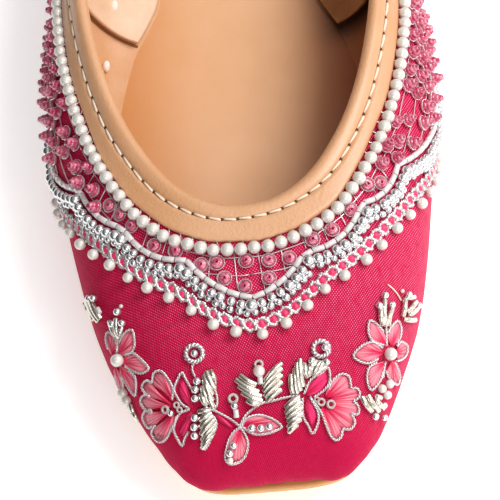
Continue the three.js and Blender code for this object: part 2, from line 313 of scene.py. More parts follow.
def leather(name, face, deep, grain_mm, roughness, grain_depth, mottle_mm=14.0):
    """Tanned leather: warm mottled colour, fine pebbled grain and a soft waxed shine."""
    material, tree, surface = new_material(name)
    place = add_node(tree, "ShaderNodeTexCoord").outputs["Object"]
    mottle = add_node(tree, "ShaderNodeTexNoise", {"Vector": place, "Scale": 1000 / mottle_mm,
                                                   "Detail": 5.0, "Roughness": 0.6})
    tone = add_node(tree, "ShaderNodeMapRange", {0: mottle.outputs[0], 1: 0.3, 2: 0.7})
    pores = add_node(tree, "ShaderNodeTexVoronoi", {"Vector": place, "Scale": 1000 / grain_mm,
                                                    "Randomness": 1.0}, feature="SMOOTH_F1")
    fibre = add_node(tree, "ShaderNodeTexNoise", {"Vector": place, "Scale": 2500 / grain_mm, "Detail": 4.0})
    relief = add_node(tree, "ShaderNodeMath", {0: pores.outputs["Distance"], 1: fibre.outputs[0]},
                      operation="ADD")
    bump = add_node(tree, "ShaderNodeBump", {"Height": relief.outputs[0], "Strength": 0.7,
                                             "Distance": grain_depth * MM})
    shine = add_node(tree, "ShaderNodeMapRange", {0: mottle.outputs[0], 1: 0.25, 2: 0.75,
                                                  3: roughness - 0.06, 4: roughness + 0.08})
    tree.links.new(two_tone(tree, tone.outputs[0], deep, face), surface.inputs["Base Color"])
    tree.links.new(shine.outputs[0], surface.inputs["Roughness"])
    tree.links.new(bump.outputs[0], surface.inputs["Normal"])
    surface.inputs["IOR"].default_value = 1.46
    return material


outline_points = 416
outline_places = (np.arange(outline_points) + 0.5) * turn / outline_points
feather, feather_out = plan_curve(outline_places, "foot", "half")
sole_set_back, toe_lip, sole_bevel = 0.2, 1.4, 0.6
sole_rim = rounded_rim(underside_height, lambda y: underside_height(y) + sole_thickness,
                       0.0, 0.7, -sole_bevel)
toe_front = np.exp(-((feather[:, 0] + 1.8) / 17.0) ** 4) * (feather[:, 1] < toe_y + 20)
trimmed = feather + feather_out * (-sole_set_back + toe_lip * toe_front)[:, None]
sole_leather = leather("vegetable_tanned_sole_leather", "#E3AE70", "#D29655", 1.1, 0.5, 0.05)
outsole = make_mesh("outsole_leather", *plate(trimmed, feather_out, sole_rim), sole_leather)
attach(outsole, "root")
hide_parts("outsole")

# Heel lift
# Two stacked layers of darker leather glued under the heel, with a straight breast across the shoe.
heel_breast = toe_y + 0.77 * shoe_length
heel_edge = 0.5
behind = feather[:, 1] > heel_breast
seat = (feather + feather_out * heel_edge)[behind]
middle_back = len(seat) // 2
right_side, left_side = seat[:middle_back], seat[middle_back:]
breast_steps = 12
breast_half = np.linspace(0.04, 1, breast_steps, endpoint=False) * right_side[0, 0]
breast_right = np.column_stack([breast_half, np.full(breast_steps, heel_breast)])
breast_left = breast_right[::-1] * (-1, 1)
heel_loop = np.vstack([breast_right, right_side, left_side, breast_left])
ahead_of = np.roll(heel_loop, -1, 0) - np.roll(heel_loop, 1, 0)
ahead_of /= np.linalg.norm(ahead_of, axis=1, keepdims=True)
heel_out = np.column_stack([ahead_of[:, 1], -ahead_of[:, 0]])
layer = heel_height / 2
groove = 0.25
heel_rim = rounded_rim(lambda y: 0 * y, lambda y: 0 * y + heel_height, 0.0, 0.5, -0.6)
rim_middle = len(heel_rim) // 2
heel_rim[rim_middle:rim_middle] = [(-0.3, lambda y: 0 * y + layer - groove),
                                   (-0.3 - groove, lambda y: 0 * y + layer),
                                   (-0.2, lambda y: 0 * y + layer + groove)]
stacked_leather = leather("stacked_heel_leather", "#B98350", "#8F5C31", 0.9, 0.55, 0.06, 6.0)
heel_lift = make_mesh("heel_lift_leather", *plate(heel_loop, heel_out, heel_rim), stacked_leather)
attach(heel_lift, "root")
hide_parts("heel_lift")

# Insole
# A thin board under a glued sock of smooth tan goat leather. Its edge rolls down to the wall, and the
# sock is a little fuller along the middle.
upper_wall = 2.0
insole_thickness = 2.5
insole_edge = -(upper_wall + seat_gap)


def board_low(y):
    return underside_height(y) + sole_thickness + seat_gap


insole_rim = [(insole_edge - 4, board_low), (insole_edge, board_low)]
for share, sink in ((0.0, 0.5), (0.12, 0.28), (0.3, 0.14), (0.55, 0.05), (1.0, 0.0)):
    insole_rim.append((insole_edge - 7 * share,
                       lambda y, s=sink: board_low(y) + insole_thickness * (1 - s)))
insole_rim.append((insole_edge - 13, lambda y: board_low(y) + insole_thickness + 0.05))
sock_leather = leather("smooth_goat_lining_leather", "#F0BF96", "#E6B182", 0.8, 0.4, 0.04, 40.0)


def tinted(material, tint, most, **limits):
    """Eases a leather towards another colour between two places along X, Y or both, in metres."""
    tree = material.node_tree
    face = tree.nodes["Principled BSDF"]
    plain = face.inputs["Base Color"].links[0].from_socket
    place = add_node(tree, "ShaderNodeTexCoord").outputs["Object"]
    along = add_node(tree, "ShaderNodeSeparateXYZ", {0: place}).outputs
    share = most
    for axis, (none_at, all_at) in limits.items():
        eased_in = add_node(tree, "ShaderNodeMapRange", {0: along[axis], 1: none_at, 2: all_at},
                            interpolation_type="SMOOTHSTEP")
        share = add_node(tree, "ShaderNodeMath", {0: share, 1: eased_in.outputs[0]},
                         operation="MULTIPLY").outputs[0]
    tree.links.new(two_tone(tree, share, plain, tint), face.inputs["Base Color"])


# Paler along the middle; painted orange shade beside one wall's crease and a browner painted shadow by the
# other
tinted(sock_leather, "#CC8038", 0.75, X=(-0.006, -0.034))
tinted(sock_leather, "#A4581E", 1.0, X=(0.007, 0.03), Y=(-0.03, -0.075))


def painted_flap_shadow(material):
    """Paints a dark shadow onto a leather beside the right wall, round the right flap, by how much its mesh
    says.
    """
    tree = material.node_tree
    face = tree.nodes["Principled BSDF"]
    unshaded = face.inputs["Base Color"].links[0].from_socket
    shadow_attribute = add_node(tree, "ShaderNodeAttribute", attribute_name="flap_shadow_share")
    place = add_node(tree, "ShaderNodeTexCoord").outputs["Object"]
    sideways = add_node(tree, "ShaderNodeSeparateXYZ", {0: place}).outputs["X"]
    by_wall = add_node(tree, "ShaderNodeMapRange", {0: sideways, 1: 0.014, 2: 0.025},
                       interpolation_type="SMOOTHSTEP")
    share = add_node(tree, "ShaderNodeMath", {0: shadow_attribute.outputs["Fac"], 1: by_wall.outputs[0]},
                     operation="MULTIPLY")
    # Painted shadow: near-black brown where the mesh's share and the right wall allow
    tree.links.new(two_tone(tree, share.outputs[0], unshaded, "#241006"), face.inputs["Base Color"])


painted_flap_shadow(sock_leather)
insole = make_mesh("insole_sock", *plate(feather, feather_out, insole_rim), sock_leather)
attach(insole, "root")
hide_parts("insole")

# Upper cloth
# Hot pink raw silk pasted on a leather backing and pulled over the last. It is cut with its threads on
# the slant, is drawn in with small gathers at the toe, and bulges a little over the sole's edge.
throat_height, back_height = 34.0, 53.0
surface_places = turn * 20
surface_heights = 72


def upper_surface(place, height):
    base, base_out = plan_curve(place, "foot", "half")
    top, top_out = plan_curve(place, "top_foot", "top_half")
    base_z = board_low(base[..., 1])
    top_z = throat_height + around["rise"](place) * (back_height - throat_height)
    tall = top_z - base_z
    low = base + base_out * (around["out"](place) * ball_width)[..., None]
    high = top + top_out * (around["lean"](place) * ball_width)[..., None]
    handles = [
        np.concatenate([base, base_z[..., None]], -1),
        np.concatenate([low, (base_z + around["up"](place) * tall)[..., None]], -1),
        np.concatenate([high, (top_z - around["drop"](place) * tall)[..., None]], -1),
        np.concatenate([top, top_z[..., None]], -1),
    ]
    h = height[..., None]
    weights = ((1 - h) ** 3, 3 * h * (1 - h) ** 2, 3 * h ** 2 * (1 - h), h ** 3)
    return swung(sum(weight * handle for weight, handle in zip(weights, handles)))


def outward_normals(surface_grid):
    """Unit normals of a grid of points that runs round the shoe by rows and up it by columns."""
    going_round = np.roll(surface_grid, -1, 0) - np.roll(surface_grid, 1, 0)
    normals = np.cross(going_round, np.gradient(surface_grid, axis=1))
    return normals / np.linalg.norm(normals, axis=-1, keepdims=True)


grid_places = np.arange(surface_places) * turn / surface_places
grid_heights = np.linspace(0, 1, surface_heights)
place_grid, height_grid = np.meshgrid(grid_places, grid_heights, indexing="ij")
wall_points = upper_surface(place_grid, height_grid)
wall_normals = outward_normals(wall_points)
climb = np.linalg.norm(np.diff(wall_points, axis=1), axis=-1)
wall_depths = np.zeros(wall_points.shape[:2])
wall_depths[:, :-1] = np.cumsum(climb[:, ::-1], axis=1)[:, ::-1]

# The collar chart: how far round from the throat (positive to +X) and how far down from the collar
chart_step = 0.25
chart_depths = np.arange(0, 70, chart_step)
chart_points = np.empty((surface_places, len(chart_depths), 3))
chart_normals = np.empty_like(chart_points)
for row in range(surface_places):
    for axis in range(3):
        chart_points[row, :, axis] = np.interp(chart_depths, wall_depths[row, ::-1],
                                               wall_points[row, ::-1, axis])
        chart_normals[row, :, axis] = np.interp(chart_depths, wall_depths[row, ::-1],
                                                wall_normals[row, ::-1, axis])
pearl_depth = 10.0
pearl_line = chart_points[:, int(pearl_depth / chart_step)]
line_steps = np.linalg.norm(np.roll(pearl_line, -1, 0) - pearl_line, axis=1)
line_distance = np.concatenate([[0], np.cumsum(line_steps)])
collar_length = line_distance[-1]


def between(table, near, far, column, row_share, column_share):
    """A table's values between two of its rows and two of its columns."""
    low = table[near, column] * (1 - row_share) + table[far, column] * row_share
    high = table[near, column + 1] * (1 - row_share) + table[far, column + 1] * row_share
    return low * (1 - column_share) + high * column_share


def on_collar(distance, depth, raised=0.0):
    """Points and outward normals at distances round the collar and depths below it."""
    distance, depth = np.broadcast_arrays(np.asarray(distance, float), np.asarray(depth, float))
    row = np.interp(distance % collar_length, line_distance, np.arange(surface_places + 1))
    column = np.clip(depth / chart_step, 0, len(chart_depths) - 1.001)
    row_low, column_low = np.floor(row).astype(int), np.floor(column).astype(int)
    spot = (row_low % surface_places, (row_low + 1) % surface_places, column_low,
            (row - row_low)[..., None], (column - column_low)[..., None])
    normals = between(chart_normals, *spot)
    normals /= np.linalg.norm(normals, axis=-1, keepdims=True)
    return between(chart_points, *spot) + normals * np.asarray(raised)[..., None], normals


def photo_pixels(points):
    """Where points of the shoe fall in the photo's pixels."""
    from_camera = points - camera_place
    ahead = from_camera @ view_line
    return np.stack([photo_side / 2 + focal_pixels * (from_camera @ view_right) / ahead,
                     photo_side / 2 - focal_pixels * (from_camera @ view_up) / ahead], -1)


def collar_places(pixels, raised):
    """Distances round and depths below the collar of places picked in the photo's pixels."""
    photo_reach, photo_depth = 75, 30
    distance, depth = np.meshgrid(np.arange(-photo_reach, photo_reach + 0.1, 0.25),
                                  np.arange(2, photo_depth + 0.1, 0.1), indexing="ij")
    points, normals = on_collar(distance.ravel(), depth.ravel(), raised)
    hidden = np.sum(normals * (points - camera_place), axis=1) > 0
    seen_at = photo_pixels(points)
    seen_at[hidden] = -1000
    nearest = [np.argmin(np.sum((seen_at - pixel) ** 2, axis=1)) for pixel in np.array(pixels, float)]
    return distance.ravel()[nearest], depth.ravel()[nearest]


def joined_rings(loops):
    """Faces of a body made of closed loops, the last joined to the first."""
    rings, size = loops.shape[:2]
    ring, index = np.meshgrid(np.arange(rings), np.arange(size), indexing="ij")
    next_ring, next_index = (ring + 1) % rings, (index + 1) % size
    corners = (ring * size + index, next_ring * size + index,
               next_ring * size + next_index, ring * size + next_index)
    return loops.reshape(-1, 3), np.stack(corners, -1).reshape(-1, 4).tolist()


rng = np.random.default_rng(7)
gather_rows = {  # toe gathers: place round the shoe in sections from the toe, width, how far out (mm)
    "left_bulge": (-1.35, 0.5, 0.75),
    "left_tuck": (-0.75, 0.16, -0.3),
    "middle_hollow": (0.3, 0.4, -0.45),
    "middle_tuck": (0.78, 0.14, -0.45),
    "right_bulge": (1.15, 0.35, 0.6),
    "right_tuck": (1.9, 0.2, -0.3),
    "left_side_tuck": (-2.4, 0.3, -0.3),
    "right_side_tuck": (3.1, 0.35, -0.3),
}


def cloth_relief(place, height):
    """How far the cloth stands off the last, in millimetres."""
    away = (place + turn / 2) % turn - turn / 2
    low_edge = np.exp(-(height / 0.1) ** 2)
    relief = 0.55 * np.exp(-((height - 0.07) / 0.09) ** 2)
    for centre, width, out in gather_rows.values():
        relief = relief + out * np.exp(-((away - centre) / width) ** 2) * low_edge
    toe = np.exp(-(away / 3.6) ** 2)
    small = np.sin(away * 11 + 2 * np.sin(away * 3.1)) + 0.6 * np.sin(away * 17.3 + 1)
    relief = relief + 0.07 * small * toe * np.exp(-(height / 0.16) ** 2)
    soft = np.sin(away * 2.1 + 6 * height) * np.sin(away * 1.3 - 4 * height + 1)
    return relief + 0.12 * soft * np.sin(np.pi * height)


cloth_thickness = 0.95
cloth_top = 2.4
cloth_depths = wall_depths[:, :1] + (cloth_top - wall_depths[:, :1]) * np.linspace(0, 1, surface_heights)
cloth_heights = np.stack([np.interp(-cloth_depths[row], -wall_depths[row], grid_heights)
                          for row in range(surface_places)])
cloth_base = upper_surface(place_grid, cloth_heights)
cloth_normals = outward_normals(cloth_base)
cloth_outer = cloth_base + cloth_normals * cloth_relief(place_grid, cloth_heights)[..., None]
skived = cloth_thickness * np.interp(cloth_depths, [cloth_top, 9.0], [0.5, 1.0])
cloth_inner = cloth_base - cloth_normals * skived[..., None]
cloth_loops = np.concatenate([cloth_outer, cloth_inner[:, ::-3]], axis=1)
cloth_loops[:, -1] = cloth_loops[:, 0] - cloth_normals[:, 0] * cloth_thickness

raw_silk, tree, surface = new_material("hot_pink_raw_silk")
# Plain-woven silk with uneven threads: a dense pink with darker thread gaps, pale painted highlights on the
# thread crossings, and a soft sheen
thread_mm = 0.55  # a real thread is 0.25 mm, too fine to show at this size
cut = add_node(tree, "ShaderNodeAttribute", attribute_name="cut")
slant = add_node(tree, "ShaderNodeMapping", {"Vector": cut.outputs["Vector"],
                                             "Rotation": (0, 0, math.radians(38))})
warp = add_node(tree, "ShaderNodeTexWave", {"Vector": slant.outputs[0], "Scale": 1 / (thread_mm * 3.2),
                                            "Distortion": 1.2, "Detail": 2.0, "Detail Scale": 1.2},
                bands_direction="X")
weft = add_node(tree, "ShaderNodeTexWave", {"Vector": slant.outputs[0], "Scale": 1 / (thread_mm * 3.2),
                                            "Distortion": 1.2, "Detail": 2.0, "Detail Scale": 1.0},
                bands_direction="Y")
slub = add_node(tree, "ShaderNodeTexNoise", {"Vector": slant.outputs[0], "Scale": 0.5, "Detail": 6.0,
                                             "Roughness": 0.7})
weave = add_node(tree, "ShaderNodeMath", {0: warp.outputs["Fac"], 1: weft.outputs["Fac"]},
                 operation="MULTIPLY")
knuckles = add_node(tree, "ShaderNodeMath", {0: weave.outputs[0], 1: 3.0}, operation="POWER")
uneven = add_node(tree, "ShaderNodeMapRange", {0: slub.outputs[0], 1: 0.3, 2: 0.7, 3: 0.3, 4: 2.2})
tone = add_node(tree, "ShaderNodeMath", {0: knuckles.outputs[0], 1: uneven.outputs[0]},
                operation="MULTIPLY")
lengthwise = add_node(tree, "ShaderNodeSeparateXYZ", {0: cut.outputs["Vector"]})
# Painted highlights: the pale crossings fade out towards the toe and the left side
toe_sheen_fade = add_node(tree, "ShaderNodeMapRange",
                    {0: lengthwise.outputs["Y"], 1: -214.0, 2: -182.0, 3: 0.12, 4: 1.0})
left_sheen_fade = add_node(tree, "ShaderNodeMapRange",
                     {0: lengthwise.outputs["X"], 1: -42.0, 2: -8.0, 3: 0.15, 4: 1.0})
sheen_spread = add_node(tree, "ShaderNodeMath", {0: toe_sheen_fade.outputs[0], 1: left_sheen_fade.outputs[0]},
                operation="MULTIPLY")
painted_sheen = add_node(tree, "ShaderNodeMath", {0: tone.outputs[0], 1: sheen_spread.outputs[0]}, operation="MULTIPLY",
                 use_clamp=True)
dye_with_sheen = two_tone(tree, painted_sheen.outputs[0], "#C80042", "#FFA2C8")
threads = add_node(tree, "ShaderNodeBump", {"Height": weave.outputs[0], "Strength": 0.7,
                                            "Distance": 0.15 * MM})
tree.links.new(dye_with_sheen, surface.inputs["Base Color"])
tree.links.new(threads.outputs[0], surface.inputs["Normal"])
set_sockets(surface, {"Roughness": 0.7, "Specular IOR Level": 0.12, "Sheen Weight": 0.12,
                      "Sheen Roughness": 0.35, "Sheen Tint": linear("#FF5C92")})

cloth_points, cloth_faces = joined_rings(cloth_loops)
cloth = make_mesh("upper_silk", cloth_points, cloth_faces, raw_silk)
collar_plan, collar_out = plan_curve(grid_places, "top_foot", "top_half")
unrolled = collar_plan[:, None] + collar_out[:, None] * cloth_depths[..., None]
cut_flat = np.zeros(cloth_loops.shape)
cut_flat[:, :surface_heights, :2] = unrolled
cut_flat[:, surface_heights:, :2] = unrolled[:, ::-3]
cut_layer = cloth.data.attributes.new("cut", "FLOAT_VECTOR", "POINT")
cut_layer.data.foreach_set("vector", cut_flat.reshape(-1))
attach(cloth, "root")
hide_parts("upper")

# Lining
# Thin peach goat leather pasted inside the whole wall. It is skived under the binding and turns in over
# the sock's edge in a soft fillet, widest at the waist.
crease_shares = (0.0, 0.15, 0.28, 0.4, 0.48, 0.53, 0.62, 0.75, 0.88, 1.0)
crease_insets = (2.0, 4.0, 8.0, 9.5, 9.5, 12.0, 11.0, 7.0, 5.0, 5.0)
fillet_height = 0.52


def lining_offset(depth):
    """How far inside the cloth's face the lining's face lies."""
    return upper_wall * np.interp(depth, [2.0, 9.0], [0.62, 1.0])


def lining_surface(place, height):
    wall = upper_surface(place, np.maximum(height, 0))
    step = 1e-3
    around_step = upper_surface(place + step, height) - upper_surface(place - step, height)
    up_step = upper_surface(place, height + step) - upper_surface(place, height - step)
    outward = np.cross(around_step, up_step)
    outward /= np.linalg.norm(outward, axis=-1, keepdims=True)
    full = np.interp(place.ravel() % turn, grid_places, wall_depths[:, 0]).reshape(place.shape)
    face = wall - outward * lining_offset(full * (1 - height))[..., None]
    foot, foot_out = plan_curve(place, "foot", "half")
    share = (foot[..., 1] - toe_y) / shoe_length
    inset = upper_wall + np.interp(share, crease_shares, crease_insets)
    sock_top = board_low(foot[..., 1]) + insole_thickness
    corner = np.concatenate([foot - foot_out * upper_wall, sock_top[..., None] + 1.2], -1)
    crease = np.concatenate([foot - foot_out * inset[..., None], sock_top[..., None] + 0.1], -1)
    corner, crease = swung(corner), swung(crease)
    t = np.clip(1 - height / fillet_height, 0, 1)[..., None]
    start = upper_surface(place, np.full(place.shape, fillet_height)) - outward * upper_wall
    bent = (1 - t) ** 2 * start + 2 * t * (1 - t) * corner + t ** 2 * crease
    soft = np.clip(t / 0.12, 0, 1)
    return face * (1 - soft) + bent * soft


lining_heights = np.concatenate([[0.0, 0.004], np.linspace(0.02, 0.93, 52)])
lining_steps = turn * 12
lining_places = np.arange(lining_steps) * turn / lining_steps
lining_place_grid, lining_height_grid = np.meshgrid(lining_places, lining_heights, indexing="ij")
lining_face = lining_surface(lining_place_grid, lining_height_grid)
lining_normals = -outward_normals(lining_face)
pulls = np.sin(lining_place_grid * 2.2 + 4 * lining_height_grid) * np.sin(np.pi * lining_height_grid)
lining_face = lining_face + lining_normals * (0.3 * np.clip(pulls, 0, 1))[..., None]
lining_back = lining_face - lining_normals * 0.7
lining_loops = np.concatenate([lining_face, lining_back[:, ::-2]], axis=1)
lining_leather = leather("soft_goat_lining_leather", "#E6B992", "#DAA272", 0.8, 0.5, 0.05, 14.0)
# Painted shade: the lining darkens to brown along the right wall, with the flap's painted shadow beside it
tinted(lining_leather, "#A05A24", 0.9, X=(0.006, 0.03))
painted_flap_shadow(lining_leather)
lining = make_mesh("upper_lining", *joined_rings(lining_loops), lining_leather)
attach(lining, "root")
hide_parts("upper")

# Quarter lining flaps
# On each side the heel half's lining laps over the front lining and over the sock's edge. Its front
# edge slants from the collar down to a corner at the crease and curls a little off the wall.
flap_edges = {  # front edge in the photo's pixels from the binding down to the corner
    "left": ((84.0, 12.5), (95.0, 25.0), (104.0, 31.5), (113.0, 37.0), (123.0, 42.0), (131.0, 46.0)),
    "right": ((374.0, 1.0), (364.0, 11.0), (355.0, 18.0), (347.0, 23.0), (340.0, 26.0)),
}
flap_thickness = 0.9
lining_tree_points = lining_face.reshape(-1, 3)
lining_quads = []
for i in range(len(lining_places)):
    for j in range(len(lining_heights) - 1):
        low, high = i * len(lining_heights) + j, (i + 1) % len(lining_places) * len(lining_heights) + j
        lining_quads.append((low, high, high + 1, low + 1))
lining_tree = BVHTree.FromPolygons([Vector(p) for p in lining_tree_points.tolist()], lining_quads)


def pixel_ray(x, y):
    ray = view_line + (x - photo_side / 2) / focal_pixels * view_right
    ray = ray - (y - photo_side / 2) / focal_pixels * view_up
    return Vector(ray).normalized()


def lining_face_at(place, height):
    row = place % turn / turn * len(lining_places)
    low = np.floor(row).astype(int)
    column = np.interp(height, lining_heights, np.arange(len(lining_heights)))
    left = np.minimum(np.floor(column).astype(int), len(lining_heights) - 2)
    spot = (low % lining_steps, (low + 1) % lining_steps, left, (row - low)[..., None],
            (column - left)[..., None])
    return between(lining_face, *spot), between(lining_normals, *spot)


# One flap is painted brown as shade, fading to pale at the heel where the two flaps meet
flap_leathers = {
    "left": leather("pale_goat_flap_leather", "#F3D2B6", "#E6BC98", 0.8, 0.5, 0.05, 9.0),
    "right": leather("painted_shade_goat_flap_leather", "#A8713F", "#966032", 0.8, 0.5, 0.05, 9.0),
}
tinted(flap_leathers["right"], "#E0B48E", 1.0, Y=(-0.085, -0.03))
painted_flap_shadow(flap_leathers["right"])
flaps, flap_faces = {}, {}
for side, pixels in flap_edges.items():
    edge_rows = []
    for x, y in pixels:
        hit, _, _, _ = lining_tree.ray_cast(Vector(camera_place), pixel_ray(x, y))
        if hit is not None:
            gaps = np.linalg.norm(lining_tree_points - np.array(hit), axis=1)
            near = np.argsort(gaps)[:4]
            weight = 1 / (gaps[near] + 0.01)
            weight /= weight.sum()
            edge_rows.append((weight @ lining_heights[near % len(lining_heights)],
                              weight @ lining_places[near // len(lining_heights)]))
    edge_rows = np.array(sorted(edge_rows))
    flap_heights = np.linspace(0.015, 0.93, 40)
    slant = np.polyfit(edge_rows[:, 0], edge_rows[:, 1], 2 if side == "left" else 1)
    front = np.polyval(slant, flap_heights)
    columns = np.linspace(0, 1, 80) ** 1.4
    flap_place = front[None, :] + (turn / 2 - front)[None, :] * columns[:, None]
    flap_height = np.broadcast_to(flap_heights[None, :], flap_place.shape)
    surface_at, normal_at = lining_face_at(flap_place, flap_height)
    from_edge = np.linalg.norm(surface_at - surface_at[:1], axis=-1)
    low_share = np.clip(1 - flap_heights / 0.75, 0, 1)
    curl = (0.4 + 1.3 * low_share)[None, :] * np.exp(-from_edge / 4.5)
    back = surface_at + normal_at * (0.15 + curl)[..., None]
    face = back + normal_at * flap_thickness
    loops = np.concatenate([face, back[:, ::-1]], axis=1)
    count, size = loops.shape[:2]
    points, faces = joined_rings(loops)
    faces = faces[:(count - 1) * size]
    for end in (0, (count - 1) * size):
        faces += [(end + i, end + i + 1, end + size - 2 - i, end + size - 1 - i)
                  for i in range(size // 2 - 1)]
    flap = make_mesh("quarter_lining_" + side, points, faces, flap_leathers[side])
    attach(flap, "root")
    flaps[side] = flap
    flap_faces[side] = (surface_at, normal_at)

# Flap shadows
# Painted shadow round the flaps: a thin brown line along one flap's front edge, and a broad dark painted
# shadow round the other flap, on the flap, the lining and the sock beside it.
shaded_flap_face, _ = flap_faces["right"]
low_edge_end = 34  # columns of the flap that the painted shadow follows along its low edge
shadow_seam = np.vstack([shaded_flap_face[0, ::-1], shaded_flap_face[1:low_edge_end, 0]])
shaded_pieces = ((insole, 4.2, 0.97), (lining, 3.8, 0.97), (flaps["right"], 1.1, 0.7))
for piece, width, most in shaded_pieces:  # the painted shadow's width in mm and its strength
    places = np.empty(len(piece.data.vertices) * 3)
    piece.data.vertices.foreach_get("co", places)
    away = np.linalg.norm(places.reshape(-1, 1, 3) / MM - shadow_seam[None, ::2], axis=-1).min(axis=1)
    shade_layer = piece.data.attributes.new("flap_shadow_share", "FLOAT", "POINT")
    shade_layer.data.foreach_set("value", most * np.exp(-(away / width) ** 2))
flap_edge_shadow_paint, tree, surface = new_material("painted_flap_edge_shadow")
# Painted shadow: a soft brown line under the flap's front edge, which gives the edge its thickness
set_sockets(surface, {"Base Color": linear("#8C5A30"), "Roughness": 0.5})


def tube(path, radius, sides=6):
    """Points and faces of a round strand along a path; its radius may change along it."""
    path = np.asarray(path, float)
    along = np.gradient(path, axis=0)
    along /= np.maximum(np.linalg.norm(along, axis=1, keepdims=True), 1e-9)
    guide = np.where(np.abs(along[:, 2:3]) < 0.9, [[0.0, 0.0, 1.0]], [[1.0, 0.0, 0.0]])
    side = np.cross(along, guide)
    side /= np.linalg.norm(side, axis=1, keepdims=True)
    top = np.cross(side, along)
    angle = np.arange(sides) * 2 * math.pi / sides
    radius = np.broadcast_to(np.asarray(radius, float), (len(path),))
    ring = np.cos(angle)[None, :, None] * side[:, None] + np.sin(angle)[None, :, None] * top[:, None]
    points = path[:, None] + ring * radius[:, None, None]
    faces = ring_faces(len(path), sides)
    faces.append(tuple(range(sides))[::-1])
    faces.append(tuple((len(path) - 1) * sides + j for j in range(sides)))
    return points.reshape(-1, 3), faces


def gathered(bodies):
    """Several (points, faces) bodies as one."""
    points, faces, shift = [], [], 0
    for body_points, body_faces in bodies:
        points.append(body_points)
        faces.extend(tuple(i + shift for i in face) for face in body_faces)
        shift += len(body_points)
    return np.vstack(points), faces


left_flap_face, left_flap_normal = flap_faces["left"]
flap_shadow_line = make_mesh("flap_shadow_line", *tube(left_flap_face[0] + left_flap_normal[0] * 0.1, 0.34, 8), flap_edge_shadow_paint)
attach(flap_shadow_line, "root")

# Lining knots
# Two small knots of white thread inside the wall, the ends of the border's stitching.
knot_cotton, tree, surface = new_material("white_cotton_knot")
# Soft matt cotton: the palest spots inside the shoe
set_sockets(surface, {"Base Color": linear("#FFF6EE"), "Roughness": 0.8})
knot_bodies = []
for x, y, long in ((107.0, 67.0, 1.35), (115.0, 7.0, 1.45)):
    hit, normal, _, _ = lining_tree.ray_cast(Vector(camera_place), pixel_ray(x, y))
    across_knot = np.cross(np.array(normal), view_up)
    across_knot /= np.linalg.norm(across_knot)
    share = np.linspace(-1, 1, 9)
    line = np.array(hit) - view_line * 1.7 + view_up * (long * share)[:, None]
    line = line + across_knot * (0.25 * share ** 2)[:, None]
    knot_bodies.append(tube(line, 0.85 * np.sqrt(np.clip(1 - share ** 2, 0.02, 1)), 10))
knots_inside = make_mesh("lining_knots", *gathered(knot_bodies), knot_cotton)
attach(knots_inside, "root")

# Collar binding
# A strip of smooth tan leather folded over the collar's edge: a full rolled edge, a groove with the
# stitch line, and a flat strip outside it. It is glued down, so its edge is close to the cloth.
binding_places = turn * 26
binding_grid = np.arange(binding_places) * turn / binding_places
binding_distance = np.interp(binding_grid, np.append(grid_places, turn), line_distance)


def from_throat(distance):
    """How far round from the throat distances are, on either side."""
    return np.abs((np.asarray(distance, float) + collar_length / 2) % collar_length - collar_length / 2)


seam_pixels = {  # how far each seam stands off the cloth, mm, and places along it in the photo
    "stitches": (0.9, ((124.5, 159.0), (144.4, 183.0), (167.0, 201.7), (193.0, 213.6), (220.5, 219.0),
                       (253.0, 216.0), (284.0, 207.0), (312.5, 190.0), (336.0, 166.6), (353.6, 137.0),
                       (367.7, 104.0), (377.6, 68.6))),
    "binding": (0.6, ((88.3, 128.3), (106.7, 168.3), (130.8, 200.0), (170.0, 230.0), (216.2, 241.3),
                      (256.9, 239.8), (295.4, 228.8), (330.0, 206.7), (352.2, 175.4), (373.3, 131.8),
                      (389.4, 85.6))),
    "pearls": (1.52, ((79.2, 123.3), (92.0, 154.2), (110.8, 184.7), (134.2, 213.3), (163.3, 236.7),
                      (190.6, 245.2), (216.2, 249.4), (243.5, 249.0), (270.4, 245.2), (306.9, 229.8),
                      (338.0, 208.5), (357.7, 178.5), (376.5, 147.2), (388.5, 113.8), (399.6, 67.7))),
}
seam_places = {name: collar_places(pixels, raised) for name, (raised, pixels) in seam_pixels.items()}


def seam(name, distance):
    """Depth of a seam at distances round the collar, eased over 6 mm."""
    signed = (np.asarray(distance, float) + collar_length / 2) % collar_length - collar_length / 2
    return np.mean([np.interp(signed + reach, *seam_places[name])
                    for reach in (-3.0, -1.5, 0.0, 1.5, 3.0)], axis=0)


def stitch_line(distance):
    return seam("stitches", distance)


def binding_reach(distance):
    return seam("binding", distance)


groove_depth = stitch_line(binding_distance)
reach = binding_reach(binding_distance)
wobble = 0.1 * np.sin(binding_grid * 2.3 + 1) + 0.07 * np.sin(binding_grid * 5.1)
fold_centre_depth = 1.7
fold_radius = 1.62
fold_inside = 0.62
outside_rows = []
for drop, lift in ((0.0, 0.25), (-0.04, 0.6), (-0.22, 0.86), (-0.6, 0.98), (-1.1, 1.0), (-1.6, 0.98)):
    outside_rows.append((reach + drop + wobble, np.full(binding_places, lift)))
for drop, lift in ((1.15, 0.98), (0.8, 0.94), (0.45, 0.78), (0.2, 0.52), (0.0, 0.4), (-0.2, 0.52),
                   (-0.5, 0.86), (-0.9, 1.02)):
    outside_rows.append((groove_depth + drop, lift + 0.3 * wobble))
outside = np.stack([on_collar(binding_distance, depth, lift)[0] for depth, lift in outside_rows], axis=1)
fold_point, fold_normal = on_collar(binding_distance, fold_centre_depth)
below_fold, _ = on_collar(binding_distance, fold_centre_depth + 1.2)
edge_rise = fold_point - below_fold
edge_rise /= np.linalg.norm(edge_rise, axis=1, keepdims=True)
heel_share = np.clip((from_throat(binding_distance) - 95.0) / 90.0, 0, 1)
heel_rise = 1.9 * heel_share ** 2 * (3 - 2 * heel_share)  # the roll stands taller round the heel, mm
wall_middle = fold_point - fold_normal * fold_inside + edge_rise * heel_rise[:, None]
